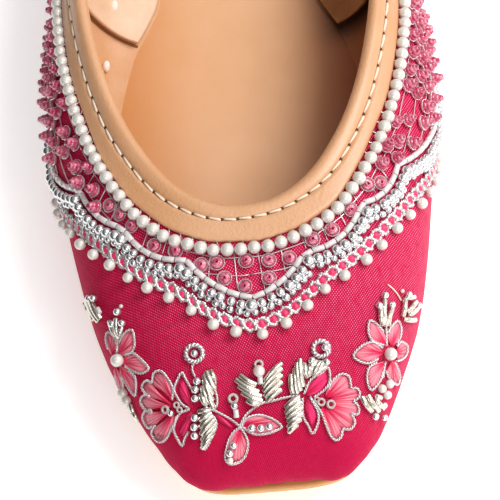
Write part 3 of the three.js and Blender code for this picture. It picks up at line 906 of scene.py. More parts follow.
over_edge = np.stack([
    wall_middle + fold_radius * (math.cos(angle) * edge_rise + math.sin(angle) * fold_normal)
    for angle in np.radians([88, 70, 52, 34, 16, 0, -16, -34, -52, -70, -88])
], axis=1)
inside = np.stack([on_collar(binding_distance, depth, -lining_offset(depth) - lift)[0]
                   for depth, lift in ((2.8, 0.85), (4.0, 0.78), (5.2, 0.72), (5.8, 0.6), (5.95, 0.3),
                                       (5.8, 0.1))], axis=1)
hidden_inside = np.stack([on_collar(binding_distance, depth, -lining_offset(depth) - 0.05)[0]
                          for depth in (4.2, 2.4)], axis=1)
hidden_over = np.stack([
    wall_middle + 0.75 * (math.cos(a) * edge_rise + math.sin(a) * fold_normal)
    for a in np.radians([-60, 0, 60])
], axis=1)
hidden_outside = np.stack([on_collar(binding_distance, depth, 0.12)[0] for depth in (2.6, 4.0, 5.5, 7.0)],
                          axis=1)
binding_loops = np.concatenate([outside, over_edge, inside, hidden_inside, hidden_over, hidden_outside],
                               axis=1)
binding_leather = leather("smooth_tan_binding_leather", "#E6B086", "#DA9F70", 0.62, 0.38, 0.11, 26.0)
binding_shine = binding_leather.node_tree.nodes["Principled BSDF"]
set_sockets(binding_shine, {"Coat Weight": 0.5, "Coat Roughness": 0.3})
binding = make_mesh("collar_binding_leather", *joined_rings(binding_loops), binding_leather)
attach(binding, "root")
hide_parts("collar_binding")

# Pearl string
# Ivory glass pearls threaded in one string and couched down beside the binding, touching. Their sizes
# and seats vary a little, as hand-sewn ones do.
pearl_diameter = 2.85
pearl_pitch = 2.84
pearl_lift = pearl_diameter / 2 + 0.1


def pearl_line_depth(distance):
    return seam("pearls", distance)


def run_along(path):
    """How far along a path each of its points is."""
    return np.concatenate([[0], np.cumsum(np.linalg.norm(np.diff(path, axis=0), axis=1))])


def along_path(at, run, path):
    """Places on a path at distances along it."""
    return np.stack([np.interp(at, run, column) for column in path.T], -1)


def spaced(line_depth, pitch, lift, low=0.0, high=None):
    """Distances at even steps along a line round the collar."""
    high = collar_length if high is None else high
    fine = np.arange(low, high + 0.1, 0.2)
    points, _ = on_collar(fine, line_depth(fine), lift)
    steps = np.linalg.norm(np.diff(points, axis=0), axis=1)
    if callable(pitch):
        steps = steps / pitch(fine[1:])
        pitch = 1.0
    run = np.concatenate([[0], np.cumsum(steps)])
    count = 2 * max(2, round(run[-1] / pitch / 2))
    return np.interp((np.arange(count) + 0.5) * run[-1] / count, run, fine)


def ball(around_steps, up_steps):
    """A round bead of radius 1 with its hole along X."""
    points = [(1.0, 0.0, 0.0)]
    for i in range(1, up_steps):
        polar = math.pi * i / up_steps
        for j in range(around_steps):
            angle = 2 * math.pi * j / around_steps
            points.append((math.cos(polar), math.sin(polar) * math.cos(angle),
                           math.sin(polar) * math.sin(angle)))
    points.append((-1.0, 0.0, 0.0))
    last = len(points) - 1
    faces = []
    for j in range(around_steps):
        k = (j + 1) % around_steps
        faces.append((0, 1 + j, 1 + k))
        for i in range(up_steps - 2):
            low = 1 + i * around_steps
            faces.append((low + j, low + around_steps + j, low + around_steps + k, low + k))
        low = 1 + (up_steps - 2) * around_steps
        faces.append((low + j, last, low + k))
    return np.array(points), faces


def many(template, centres, axes, sizes):
    """One mesh of many copies: axes are each copy's X, Y and Z as rows, sizes its scale along them."""
    points, faces = template
    centres = np.asarray(centres)
    sizes = np.broadcast_to(np.asarray(sizes, float), (len(centres), 3))
    placed = np.einsum("pk,nk,nkj->npj", points, sizes, axes) + centres[:, None]
    shift = len(points)
    all_faces = [tuple(i + copy * shift for i in face) for copy in range(len(centres)) for face in faces]
    return placed.reshape(-1, 3), all_faces


def bead_axes(forward, normals):
    """Axes with X along the thread and Z off the cloth."""
    side = np.cross(normals, forward)
    side /= np.linalg.norm(side, axis=-1, keepdims=True)
    forward = np.cross(side, normals)
    forward /= np.linalg.norm(forward, axis=-1, keepdims=True)
    return np.stack([forward, side, normals], axis=-2)


def sewn_beads(template, at, depth, lift, size):
    """Beads at distances round the collar, with their holes along it."""
    centre, normal = on_collar(at, depth, lift)
    ahead, _ = on_collar(at + 0.5, depth, lift)
    return many(template, centre, bead_axes(ahead - centre, normal), size)


glass_pearl, tree, surface = new_material("ivory_glass_pearl")
# Glass coated in pearl essence: ivory with a soft depth under a hard clear shine
place = add_node(tree, "ShaderNodeTexCoord").outputs["Object"]
lustre = add_node(tree, "ShaderNodeTexNoise", {"Vector": place, "Scale": 420.0, "Detail": 2.0})
nacre = two_tone(tree, lustre.outputs[0], "#DED7CF", "#F2EDE6")
tree.links.new(nacre, surface.inputs["Base Color"])
set_sockets(surface, {"Roughness": 0.28, "IOR": 1.6, "Metallic": 0.12, "Coat Weight": 0.8,
                      "Coat Roughness": 0.12, "Coat IOR": 1.6})

pearl_at = spaced(pearl_line_depth, pearl_pitch, pearl_lift)
pearl_at = pearl_at + rng.normal(0, 0.04, len(pearl_at))
pearl_seat = pearl_line_depth(pearl_at) + rng.normal(0, 0.09, len(pearl_at))
pearl_size = (pearl_diameter / 2 * (1 + rng.normal(0, 0.018, len(pearl_at))))[:, None] * (0.98, 1.0, 0.98)
pearls = make_mesh("pearl_beads", *sewn_beads(ball(18, 11), pearl_at, pearl_seat, pearl_lift, pearl_size),
                   glass_pearl)
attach(pearls, "root")
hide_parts("pearl_string")

couch_lines = []  # a stitch over the string between each two pearls, in the border net's thread
for at in (pearl_at + np.append(pearl_at[1:], pearl_at[0] + collar_length)) / 2:
    depths = np.linspace(float(binding_reach(at)) - 0.15, float(pearl_line_depth(at)) + 0.1, 5)
    line, _ = on_collar(at + 0.5 * (depths - depths[-1]), depths, (0.5, 0.35, 0.5, 1.1, 1.5))
    couch_lines.append(line)

# Border net
# A net of fine silver thread couched over the cloth between the pearls and the scalloped edge. In front
# it is drawn into squares of about 4.8 by 3.9 mm, and only its rows go on round the back.
scallop_pixels = {  # where each peak is in the photo, and the sag after it in mm; first the V's bottom
    "left": [(249, 299, 0.9), (185.5, 260, 1.8), (124.5, 228, 1.4), (83, 191, 0.3), (58, 174, 0.9)],
    "right": [(249, 299, 0.9), (305, 252.5, 1.8), (360, 204.5, 1.7), (395, 166, 0.3), (427, 137, 0.9)],
}
side_peaks = [(62.0, 25.0, 1.5), (74.0, 25.5, 1.8), (87.5, 25.0, 1.8)]  # out of the photo's sight
side_depth, side_sag, side_pitch = 24.6, 1.8, 13.5
half_way = collar_length / 2
scallop_peaks = {}  # distance from the throat, depth and the sag after it, mm
for side, picked in scallop_pixels.items():
    peak_away, peak_depth = collar_places([peak[:2] for peak in picked], 0.0)
    peak_away[0] = 0.0
    scallop_peaks[side] = list(zip(np.abs(peak_away), peak_depth, [peak[2] for peak in picked]))
    scallop_peaks[side] += side_peaks
    while scallop_peaks[side][-1][0] + 1.5 * side_pitch < half_way:
        scallop_peaks[side].append((scallop_peaks[side][-1][0] + side_pitch, side_depth, side_sag))
    scallop_peaks[side].append((half_way, side_depth, 0.0))


def scallop_line(distance):
    """Depth of the scalloped bugle line at distances round the collar."""
    signed = (np.asarray(distance, float) + half_way) % collar_length - half_way
    depths = []
    for peaks in scallop_peaks.values():
        place, depth, sags = np.array(peaks).T
        away = np.abs(signed)
        segment = np.clip(np.searchsorted(place, away, side="right") - 1, 0, len(place) - 2)
        share = (away - place[segment]) / (place[segment + 1] - place[segment])
        sag = sags[segment] * np.sin(np.pi * np.clip(share, 0, 1)) ** 0.8
        depths.append(depth[segment] * (1 - share) + depth[segment + 1] * share + sag)
    return np.where(signed < 0, depths[0], depths[1])


def metal(name, face, deep, roughness, metallic, mark_mm=0.6):
    """Bright metal with a faint tarnish in patches."""
    material, tree, surface = new_material(name)
    place = add_node(tree, "ShaderNodeTexCoord").outputs["Object"]
    patches = add_node(tree, "ShaderNodeTexNoise", {"Vector": place, "Scale": 1000 / mark_mm, "Detail": 3.0})
    tree.links.new(two_tone(tree, patches.outputs[0], deep, face), surface.inputs["Base Color"])
    set_sockets(surface, {"Metallic": metallic, "Roughness": roughness})
    return material


net_pitch = 4.8
net_rows = (11.9, 15.7, 19.6, 23.4)  # depths below the collar's edge, mm
net_end = 43.0  # how far from the throat the cross threads go, mm
net_lift = 0.28
net_thread_radius = 0.14
silver_thread = metal("silver_wrapped_thread", "#FFFDFC", "#CBC1C6", 0.3, 0.78)
net_bodies = []
net_count = round(collar_length / net_pitch)
for k in range(net_count):
    distance = k * collar_length / net_count + 1.9
    lowest = float(scallop_line(distance)) - 0.4
    if lowest > 12.5 and from_throat(distance) < net_end:
        depths = np.arange(10.4, lowest, 1.0)
        lean = rng.normal(0, 0.04)
        line, _ = on_collar(distance + lean * (depths - 10), depths, net_lift)
        net_bodies.append(tube(line, net_thread_radius, 5))
for row_depth in net_rows:
    open_distance = np.arange(0, collar_length, 0.9)
    inside_band = scallop_line(open_distance) > row_depth + 0.3
    runs = np.split(np.arange(len(open_distance)), np.flatnonzero(~inside_band))
    for run in runs:
        run = run[inside_band[run]]
        if len(run) > 3:
            distance = open_distance[run]
            sway = 0.1 * np.sin(distance * 0.7 + row_depth)
            line, _ = on_collar(distance, row_depth + sway, net_lift + 0.1)
            net_bodies.append(tube(line, net_thread_radius, 5))
net_bodies += [tube(line, 0.16, 5) for line in couch_lines]
net = make_mesh("border_net", *gathered(net_bodies), silver_thread)
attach(net, "root")
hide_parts("beaded_border")

# Cup sequins
# Each is a small clear cup with pink-lined beads stacked in it, sewn on through their holes: two beads in
# front, which look like a little rose, and three on the sides, which stand up as pegs 3.3 mm tall.


def lathe(profile, steps):
    """A body turned about Z from (radius, height) points given from the inside round to the outside."""
    profile = np.array(profile, float)
    angle = np.arange(steps) * 2 * math.pi / steps
    points = np.stack([profile[:, 0][:, None] * np.cos(angle), profile[:, 0][:, None] * np.sin(angle),
                       np.repeat(profile[:, 1][:, None], steps, 1)], -1).reshape(-1, 3)
    return points, ring_faces(len(profile), steps, joined=True)


def bead_profile(outer, hole, low, high, steps=7):
    """Closed round profile of a seed bead between two heights."""
    middle, half_width, half_height = (outer + hole) / 2, (outer - hole) / 2, (high - low) / 2
    angle = np.linspace(0, 2 * math.pi, steps, endpoint=False)
    return [(middle + half_width * math.cos(a), low + half_height * (1 + math.sin(a))) for a in angle]


cup_profile = [(0.4, 0.1), (1.0, 0.25), (1.36, 0.55), (1.5, 0.88), (1.6, 1.0), (1.7, 0.88), (1.52, 0.4),
               (1.05, 0.05), (0.4, -0.05)]
clear_plastic, tree, surface = new_material("clear_pressed_plastic")
# Pressed clear sheet: mostly see-through, with a hard white glint on the rim
set_sockets(surface, {"Base Color": linear("#FFF3F6"), "Roughness": 0.1, "Transmission Weight": 0.62,
                      "IOR": 1.49, "Specular IOR Level": 0.8})

pink_glass, tree, surface = new_material("pink_lined_glass")
# Clear glass over a pink dye in the hole: a rosy bead with pale glints, a painted shade darkening its middle
# round the hole, and deeper pink towards the outside
place = add_node(tree, "ShaderNodeTexCoord").outputs["Object"]
streaks = add_node(tree, "ShaderNodeTexNoise", {"Vector": place, "Scale": 1100.0, "Detail": 3.0,
                                                "Roughness": 0.6})
tone = add_node(tree, "ShaderNodeMapRange", {0: streaks.outputs[0], 1: 0.38, 2: 0.62})
rosy = two_tone(tree, tone.outputs[0], "#C8285C", "#FFA0B8")
radius = add_node(tree, "ShaderNodeAttribute", attribute_name="from_middle")
hole_shade = add_node(tree, "ShaderNodeMapRange", {0: radius.outputs["Fac"], 1: 0.3, 2: 0.62})
colour = two_tone(tree, hole_shade.outputs[0], "#B01A4E", rosy)
rim = add_node(tree, "ShaderNodeMapRange", {0: radius.outputs["Fac"], 1: 0.95, 2: 1.35, 3: 0.0, 4: 0.7})
tree.links.new(two_tone(tree, rim.outputs[0], colour, "#C4245C"), surface.inputs["Base Color"])
set_sockets(surface, {"Roughness": 0.1, "IOR": 1.55, "Transmission Weight": 0.15, "Coat Weight": 0.8,
                      "Coat Roughness": 0.04})

front_cup_pixels = (  # cups seen plainly in the photo, picked
    (65.0, 133.0), (75.0, 143.0), (65.0, 152.0), (76.0, 167.0), (89.0, 168.0), (80.0, 182.0),
    (94.0, 190.0), (96.0, 207.0), (109.0, 205.0), (119.0, 214.0), (132.0, 225.0), (154.0, 245.0),
    (175.0, 250.0), (201.0, 264.0), (217.0, 263.0), (246.0, 261.0), (268.0, 261.0), (290.0, 258.0),
    (224.0, 278.0), (245.5, 286.0), (269.0, 278.0), (312.0, 239.0), (332.0, 230.0), (351.0, 209.0),
    (368.0, 184.0), (381.0, 182.0), (381.0, 163.0), (386.5, 145.0), (397.0, 142.0), (412.0, 143.0),
    (397.0, 158.0), (395.0, 121.0), (408.0, 120.0),
)
front_cups = np.stack(collar_places(front_cup_pixels, 1.0), -1)
cup_spots = front_cups.tolist()
rose_end = 34.0  # how far from the throat the low stacks go, mm
cup_clearance = (3.4, 2.6)
side_rows = ((12.2, 0.0), (15.5, 0.1), (18.8, 0.0), (22.1, -0.1))
cup_pitch = 4.7
for depth, shift in side_rows:
    for sign in (1, -1):
        for place_along in np.arange(net_end + shift * cup_pitch, half_way, cup_pitch):
            spot = sign * (place_along + rng.normal(0, 0.25))
            lowest = float(scallop_line(spot)) - 2.0
            crowded = any(abs(spot - s) < cup_clearance[0] and abs(depth - d) < cup_clearance[1]
                          for s, d in front_cups)
            if depth + 0.2 < lowest and not crowded:
                cup_spots.append((spot, depth + rng.normal(0, 0.25)))
cup_spots = np.array(cup_spots)
cup_foot, cup_normal = on_collar(cup_spots[:, 0], cup_spots[:, 1], 0.15)
cup_ahead, _ = on_collar(cup_spots[:, 0] + 0.5, cup_spots[:, 1], 0.15)
cup_normal = cup_normal + rng.normal(0, 0.1, (len(cup_spots), 3))
cup_normal /= np.linalg.norm(cup_normal, axis=1, keepdims=True)
cup_axes = bead_axes(cup_ahead - cup_foot, cup_normal)
cup_size = (1 + rng.normal(0, 0.04, len(cup_spots)))[:, None] * np.ones(3)
cups = make_mesh("cup_sequins", *many(lathe(cup_profile, 12), cup_foot, cup_axes, cup_size), clear_plastic)
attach(cups, "root")
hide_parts("beaded_border")
low_stack = gathered([lathe(bead_profile(1.3, 0.3, 0.25, 1.3, 7), 14),
                      lathe(bead_profile(0.78, 0.1, 0.95, 1.6, 7), 12)])
tall_stack = gathered([lathe(bead_profile(1.55, 0.5, 0.25, 1.7, 6), 11),
                       lathe(bead_profile(1.2, 0.3, 1.1, 2.55, 6), 10),
                       lathe(bead_profile(0.8, 0.06, 1.95, 3.25, 5), 9)])
in_front = from_throat(cup_spots[:, 0]) < rose_end
stacked, radii = [], []
for template, chosen in ((low_stack, in_front), (tall_stack, ~in_front)):
    stacked.append(many(template, cup_foot[chosen], cup_axes[chosen], cup_size[chosen]))
    radii.append(np.tile(np.hypot(template[0][:, 0], template[0][:, 1]), chosen.sum()))
cup_beads = make_mesh("cup_bead_stacks", *gathered(stacked), pink_glass)
radius_layer = cup_beads.data.attributes.new("from_middle", "FLOAT", "POINT")
radius_layer.data.foreach_set("value", np.concatenate(radii))
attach(cup_beads, "root")
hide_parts("beaded_border")

# Bugle scallop
# Short tubes of milky glass threaded end to end along the scalloped line.
bugle_pitch = 2.75
bugle_at = spaced(scallop_line, bugle_pitch, 0.85)
edge_low = np.concatenate([[bugle_at[-1] - collar_length], bugle_at])
edge_high = np.concatenate([bugle_at, [bugle_at[0] + collar_length]])
edges = (edge_low + edge_high) / 2
bugle_ends, _ = on_collar(edges, scallop_line(edges), 0.8)
bugle_centre = (bugle_ends[:-1] + bugle_ends[1:]) / 2
_, bugle_normal = on_collar(bugle_at, scallop_line(bugle_at))
bugle_forward = bugle_ends[1:] - bugle_ends[:-1]
bugle_length = np.linalg.norm(bugle_forward, axis=1)
bugle_profile = [(0.3, 1.0), (0.55, 1.0), (0.65, 0.93), (0.64, 0.0), (0.65, -0.93), (0.55, -1.0),
                 (0.3, -1.0)]
bugle_template = lathe(bugle_profile, 10)
bugle_template = (bugle_template[0][:, [2, 0, 1]], bugle_template[1])
milk_glass, tree, surface = new_material("milky_bugle_glass")
# White opal glass with a slight rose cast from the cloth: a soft glow and a clean straight glint
set_sockets(surface, {"Base Color": linear("#FAF3F2"), "Roughness": 0.16, "Transmission Weight": 0.18,
                      "IOR": 1.52, "Subsurface Weight": 0.35, "Subsurface Radius": (0.6, 0.5, 0.5),
                      "Subsurface Scale": MM})
bugle_sizes = np.column_stack([bugle_length / 2 * 0.93, np.ones((len(bugle_at), 2))])
bugles = make_mesh("bugle_scallop", *many(bugle_template, bugle_centre,
                                          bead_axes(bugle_forward, bugle_normal), bugle_sizes), milk_glass)
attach(bugles, "root")
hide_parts("beaded_border")

# Silver bead rope
# Two rows of silver-lined seed beads sewn close together below the bugles, the lower row tucked half
# under the upper one. A larger bead sits at each peak and at the V's bottom.
seed_diameter = 2.3
seed_template = ball(11, 8)


def below_scallop(gap):
    """The scalloped line moved down so that it keeps its gap on slopes too."""
    def line(distance):
        step = 0.6
        slope = (scallop_line(distance + step) - scallop_line(distance - step)) / (2 * step)
        soft = (scallop_line(distance) * 2 + scallop_line(distance + 1) + scallop_line(distance - 1)) / 4
        return soft + gap * np.sqrt(1 + np.clip(slope, -1.2, 1.2) ** 2 * 0.7)
    return line


silver_glass = metal("silver_lined_glass", "#FFFFFF", "#D2D4D8", 0.2, 0.86, 1.4)
row_bodies = []
peak_at = np.array([-peak[0] for peak in scallop_peaks["left"]]
                   + [peak[0] for peak in scallop_peaks["right"]])
for gap, lift, size, loose in ((1.95, 1.4, 1.0, 0.07), (3.2, 0.75, 0.78, 0.15)):
    line = below_scallop(gap)
    at = spaced(line, seed_diameter * size * 0.97, lift, gap * 0.3, collar_length + gap * 0.3)
    at = at + rng.normal(0, 0.08, len(at))
    depth = line(at) + rng.normal(0, loose, len(at))
    centre, normal = on_collar(at, depth, lift + rng.normal(0, loose * 0.6, len(at)))
    ahead, _ = on_collar(at + 0.5, line(at + 0.5), lift)
    forward = ahead - centre + rng.normal(0, 0.12, centre.shape)
    signed = (at + half_way) % collar_length - half_way
    near_peak = np.min(np.abs(signed[:, None] - peak_at[None, :]), axis=1) < 1.1
    grown = np.where(near_peak & (gap < 2.5), 1.22, 1.0)
    sizes = (seed_diameter / 2 * size * grown * (1 + rng.normal(0, 0.05, len(at))))[:, None]
    row_bodies.append(many(seed_template, centre, bead_axes(forward, normal), sizes * (0.92, 1, 1)))
seed_rope = make_mesh("silver_bead_rope", *gathered(row_bodies), silver_glass)
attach(seed_rope, "root")
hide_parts("beaded_border")

# Lace edge
# A chain of eyes in twisted silver thread, each round a bright pink knot, with a tiny silver bead where
# they cross. It is couched below the bead rope and runs the same on both sides.
lace_pixels = [(231, 325), (244, 328), (257, 327.5), (269, 322), (280, 317), (291, 310), (301, 303),
               (310.5, 293), (316, 282)]  # from just past the throat out along the right side
lace_below_peaks = 7.2
side_lace = [(52.0, 28.5), (60.0, 31.5), (70.0, 33.0), (85.0, 33.5)]  # distance from the throat, depth, mm
lace_places = list(zip(*collar_places(lace_pixels, 0.0)))
lace_places += [(peak[0], peak[1] + lace_below_peaks) for peak in scallop_peaks["right"][2:4]]
lace_distance, lace_depth = np.array(lace_places + side_lace).T
lace_pitch = 2.62


def lace_line(distance):
    away = from_throat(distance)
    reach = np.array([-2.4, -1.2, 0.0, 1.2, 2.4])
    return np.mean([np.interp(away + r, lace_distance, lace_depth) for r in reach], axis=0)


def twisted(path, normals, radius, lay, step=0.3, sides=5):
    """A cord of two plies laid round one another along a path on the cloth."""
    plies = 2
    run = run_along(path)
    count = max(4, int(run[-1] / step))
    at = np.linspace(0, run[-1], count)
    centre = along_path(at, run, path)
    up = along_path(at, run, normals)
    along = np.gradient(centre, axis=0)
    side = np.cross(along, up)
    side /= np.maximum(np.linalg.norm(side, axis=1, keepdims=True), 1e-9)
    bodies = []
    for ply in range(plies):
        phase = 2 * math.pi * (at / lay + ply / plies)
        ply_path = centre + radius * 0.62 * (np.cos(phase)[:, None] * side + np.sin(phase)[:, None] * up)
        bodies.append(tube(ply_path, radius * 0.56, sides))
    return gathered(bodies)


eye_at = spaced(lace_line, lace_pitch, 0.5)
eye_index = np.arange(len(eye_at))
strand_share = np.linspace(0, len(eye_at), len(eye_at) * 8 + 1)
strand_at = np.interp(strand_share - 0.5, np.append(eye_index, len(eye_at)),
                      np.append(eye_at, eye_at[0] + collar_length))
strand_at[strand_share < 0.5] = (eye_at[0] - (eye_at[0] + collar_length - eye_at[-1])
                                 * (0.5 - strand_share[strand_share < 0.5]))
swing_out = np.sin(np.pi * strand_share)
chain_bodies = []
for sign in (1, -1):
    depth = lace_line(strand_at) + sign * 1.22 * swing_out
    line, normal = on_collar(strand_at, depth, 0.55 + 0.25 * sign * np.cos(np.pi * strand_share))
    chain_bodies.append(twisted(line, normal, 0.52, 1.05, 0.36, 4))
lace_chain = make_mesh("lace_chain", *gathered(chain_bodies), silver_thread)
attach(lace_chain, "root")

knuckle_at = np.repeat(strand_at[::8], 2)
knuckle_depth = lace_line(knuckle_at) + np.tile((-0.72, 0.72), len(knuckle_at) // 2)
knuckle_depth = knuckle_depth + rng.normal(0, 0.1, len(knuckle_at))
lace_beads = make_mesh("lace_beads", *sewn_beads(ball(8, 6), knuckle_at, knuckle_depth, 0.75,
                                                 (0.48, 0.48, 0.44)), silver_glass)
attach(lace_beads, "root")

pink_floss, tree, surface = new_material("bright_pink_silk_knot")
# Soft floss wound tight: vivid pink with fine strand lines and a silky light
place = add_node(tree, "ShaderNodeTexCoord").outputs["Object"]
strands = add_node(tree, "ShaderNodeTexNoise", {"Vector": place, "Scale": 1500.0, "Detail": 2.0})
colour = two_tone(tree, strands.outputs[0], "#E00648", "#FF3E7E")
tree.links.new(colour, surface.inputs["Base Color"])
set_sockets(surface, {"Roughness": 0.4, "Sheen Weight": 0.3})
knot_centre, knot_normal = on_collar(eye_at, lace_line(eye_at), 0.35)
knot_ahead, _ = on_collar(eye_at + 0.5, lace_line(eye_at + 0.5), 0.35)
knot_axes = bead_axes(knot_ahead - knot_centre, knot_normal)
knots = make_mesh("lace_knots", *many(ball(10, 7), knot_centre, knot_axes, (0.86, 1.12, 0.75)), pink_floss)
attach(knots, "root")

# Pearl drops
# A small pearl hangs under every second eye of the lace, held by its own stitch.
drop_diameter = 2.45
drop_at = eye_at[::2] + rng.normal(0, 0.15, len(eye_at[::2]))
drop_depth = lace_line(drop_at) + 2.1 + rng.normal(0, 0.15, len(drop_at))
drop_size = (drop_diameter / 2 * (1 + rng.normal(0, 0.03, len(drop_at))))[:, None] * np.ones(3)
drops = make_mesh("pearl_drops", *sewn_beads(ball(14, 9), drop_at, drop_depth, drop_diameter / 2 + 0.1,
                                             drop_size), glass_pearl)
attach(drops, "root")

# Binding stitches
# Waxed cream thread in a line of backstitches sunk in the groove, with an awl hole at each end.
throat_stitch, side_stitch = 3.25, 4.3


def stitch_pitch(distance):
    return throat_stitch + (side_stitch - throat_stitch) * soft_step(from_throat(distance), 12, 45)


stitch_at = spaced(stitch_line, stitch_pitch, 0.6)
next_at = np.append(stitch_at[1:], stitch_at[0] + collar_length)
thread_bodies = []
for start, end in zip(stitch_at, next_at):
    share = np.linspace(0.1, 0.93, 7)
    at = start + (end - start) * share
    lift = 0.62 + 0.16 * np.sin(np.pi * share)
    line, normal = on_collar(at, stitch_line(at) + 0.25 * (share - 0.5), lift)
    girth = 0.27 * np.array([0.5, 0.8, 1.0, 1.05, 1.15, 1.2, 0.7])
    thread_bodies.append(tube(line, girth, 6))
waxed_thread, tree, surface = new_material("waxed_cream_thread")
# Waxed cotton: cream, a little dirty, with a low shine
set_sockets(surface, {"Base Color": linear("#F8E8D2"), "Roughness": 0.5})
stitches = make_mesh("binding_stitches", *gathered(thread_bodies), waxed_thread)
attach(stitches, "root")
hole_centre, hole_normal = on_collar(stitch_at + 0.08, stitch_line(stitch_at), 0.5)
hole_ahead, _ = on_collar(stitch_at + 0.58, stitch_line(stitch_at), 0.5)
awl_hole_shade, tree, surface = new_material("awl_hole_painted_shade")
# Leather pricked through: each hole is a dark brown spot, its shade painted
set_sockets(surface, {"Base Color": linear("#5A3418"), "Roughness": 0.9})
hole_axes = bead_axes(hole_ahead - hole_centre, hole_normal)
holes = make_mesh("stitch_holes", *many(ball(8, 6), hole_centre, hole_axes, (0.4, 0.46, 0.26)), awl_hole_shade)
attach(holes, "root")

# Vamp embroidery: satin petals
# Two fan flowers, four sepals, two leaves, a stem and flowers of five and six petals in untwisted silk
# floss, laid side by side from the middle outwards. Their outlines are read off the photo in its pixels.
vamp_tree = BVHTree.FromPolygons([Vector(p) for p in cloth_points.tolist()], cloth_faces)


def on_vamp(pixels, lift=0.0):
    """Points and normals over the cloth under photo pixels; past the silhouette, the nearest inside it."""
    found, normals = [], []
    lifts = np.broadcast_to(np.asarray(lift, float).reshape(-1), (len(pixels),))
    for (x, y), height in zip(np.asarray(pixels, float), lifts):
        for inward in range(60):
            ray = pixel_ray(x + inward * (0.5 if x < photo_side / 2 else -0.5), y)
            hit, normal, _, _ = vamp_tree.ray_cast(Vector(camera_place), ray)
            if hit is not None:
                break
        normal = np.array(normal if normal.dot(ray) < 0 else -normal)
        facing = max(-normal @ np.array(ray), 0.4)
        found.append(np.array(hit) - np.array(ray) * height / facing)
        normals.append(normal)
    return np.array(found), np.array(normals)


def eased(points, steps=8):
    """A smooth curve through points, several steps to each span."""
    points = np.asarray(points, float)
    padded = np.vstack([2 * points[0] - points[1], points, 2 * points[-1] - points[-2]])
    curve = []
    for i in range(1, len(padded) - 2):
        a, b, c, d = padded[i - 1:i + 3]
        for t in np.linspace(0, 1, steps, endpoint=False):
            curve.append(0.5 * (2 * b + (c - a) * t + (2 * a - 5 * b + 4 * c - d) * t ** 2
                                + (3 * b - 3 * c + d - a) * t ** 3))
    return np.array(curve + [points[-1]])


satin_petals = {  # by flower: base, then the outline from one side of the base round the tip to the other
    "left_fan": [
        ((174, 402), [(172, 385), (166, 377), (161, 372), (156, 372), (152, 378), (152, 384)]),
        ((172, 405), [(151.5, 384), (147, 381), (143, 383), (142.5, 388), (145, 392), (149, 397)]),
        ((172, 407), [(149, 396), (145, 395), (141, 398), (141, 403), (144, 407), (148, 410)]),
        ((172, 410), [(146, 411), (143, 415), (143.5, 421), (147, 427), (152, 427), (155, 425)]),
        ((174, 412), [(153, 428), (152, 435), (156, 441), (163, 441.5), (169, 434), (174, 425)]),
    ],
    "right_fan": [
        ((325, 398), [(330, 387), (333, 380), (340, 374.5), (347, 376), (350, 383), (350, 388)]),
        ((328, 400), [(351, 388), (356, 388), (359.5, 393), (358, 398), (354, 401), (351, 402)]),
        ((328, 404), [(352, 401.5), (357, 405), (359, 410), (357, 414), (353, 414), (350, 413)]),
        ((325, 406), [(350, 414), (354, 419), (354, 424), (350, 428.5), (346, 429), (343, 428)]),
        ((322, 406), [(342, 428), (341, 435), (336, 439), (331, 437), (327, 428), (322, 414)]),
    ],
    "right_flower": [
        ((387, 347), [(373, 341), (368.5, 332), (369.7, 321), (376, 324), (383, 332), (385, 340)]),
        ((391, 346), [(388, 336), (390, 328), (397, 321), (400.5, 327), (400, 336), (397, 342)]),
        ((384, 353), [(378, 346), (371, 342.5), (362, 346), (354, 355), (361, 361), (372, 362)]),
        ((386, 360), [(376, 364), (369, 370), (367.5, 380), (371.5, 389), (379, 381), (383, 371)]),
        ((391, 361), [(386.5, 371), (390, 379), (397, 384), (399.5, 378), (398, 370), (395, 363)]),
        ((396, 353), [(399, 344), (403, 342), (407, 346), (406, 353), (402, 358), (398, 360)]),
    ],
    "left_flower": [
        ((119, 355), [(119, 344), (124, 335), (131.5, 330.5), (134, 340), (133, 349), (128, 355)]),
        ((122, 362), [(128, 355), (137, 356), (144, 363), (148, 369), (141, 373), (130, 369)]),
        ((120, 366), [(130, 371), (134, 378), (136, 387), (134, 395), (128, 387), (122, 376)]),
        ((116, 367), [(121, 377), (123, 385), (122, 391), (118, 385), (115, 377), (114, 371)]),
        ((114, 355), [(117, 345), (114, 337), (108, 333), (106.5, 339), (108, 347), (111, 354)]),
    ],
    "leaves": [
        ((243, 425), [(249, 418), (259, 415.5), (269, 418), (280, 426), (268, 433), (255, 433.5)]),
        ((240, 428), [(233, 433), (228, 444), (227, 458), (236, 462.5), (245, 457), (247, 442)]),
    ],
}
satin_sepals = {
    "left_sepals": [
        ((192, 407), [(187, 404), (182, 397), (179, 388), (182, 379), (187, 390), (190, 399)]),
        ((192, 412), [(188, 415), (184, 422), (180, 432), (183, 437), (188, 428), (191, 420)]),
    ],
    "right_sepals": [
        ((305, 395), [(308, 386), (315, 379), (325, 372), (328, 380), (322, 389), (313, 395)]),
        ((306, 399), [(305, 407), (308, 417), (312, 426), (316, 419), (315, 410), (310, 401)]),
    ],
    "stem_floss": [
        ((214, 414), [(219, 417), (226, 421), (233, 428), (230, 427), (223, 421), (217, 417)]),
    ],
}


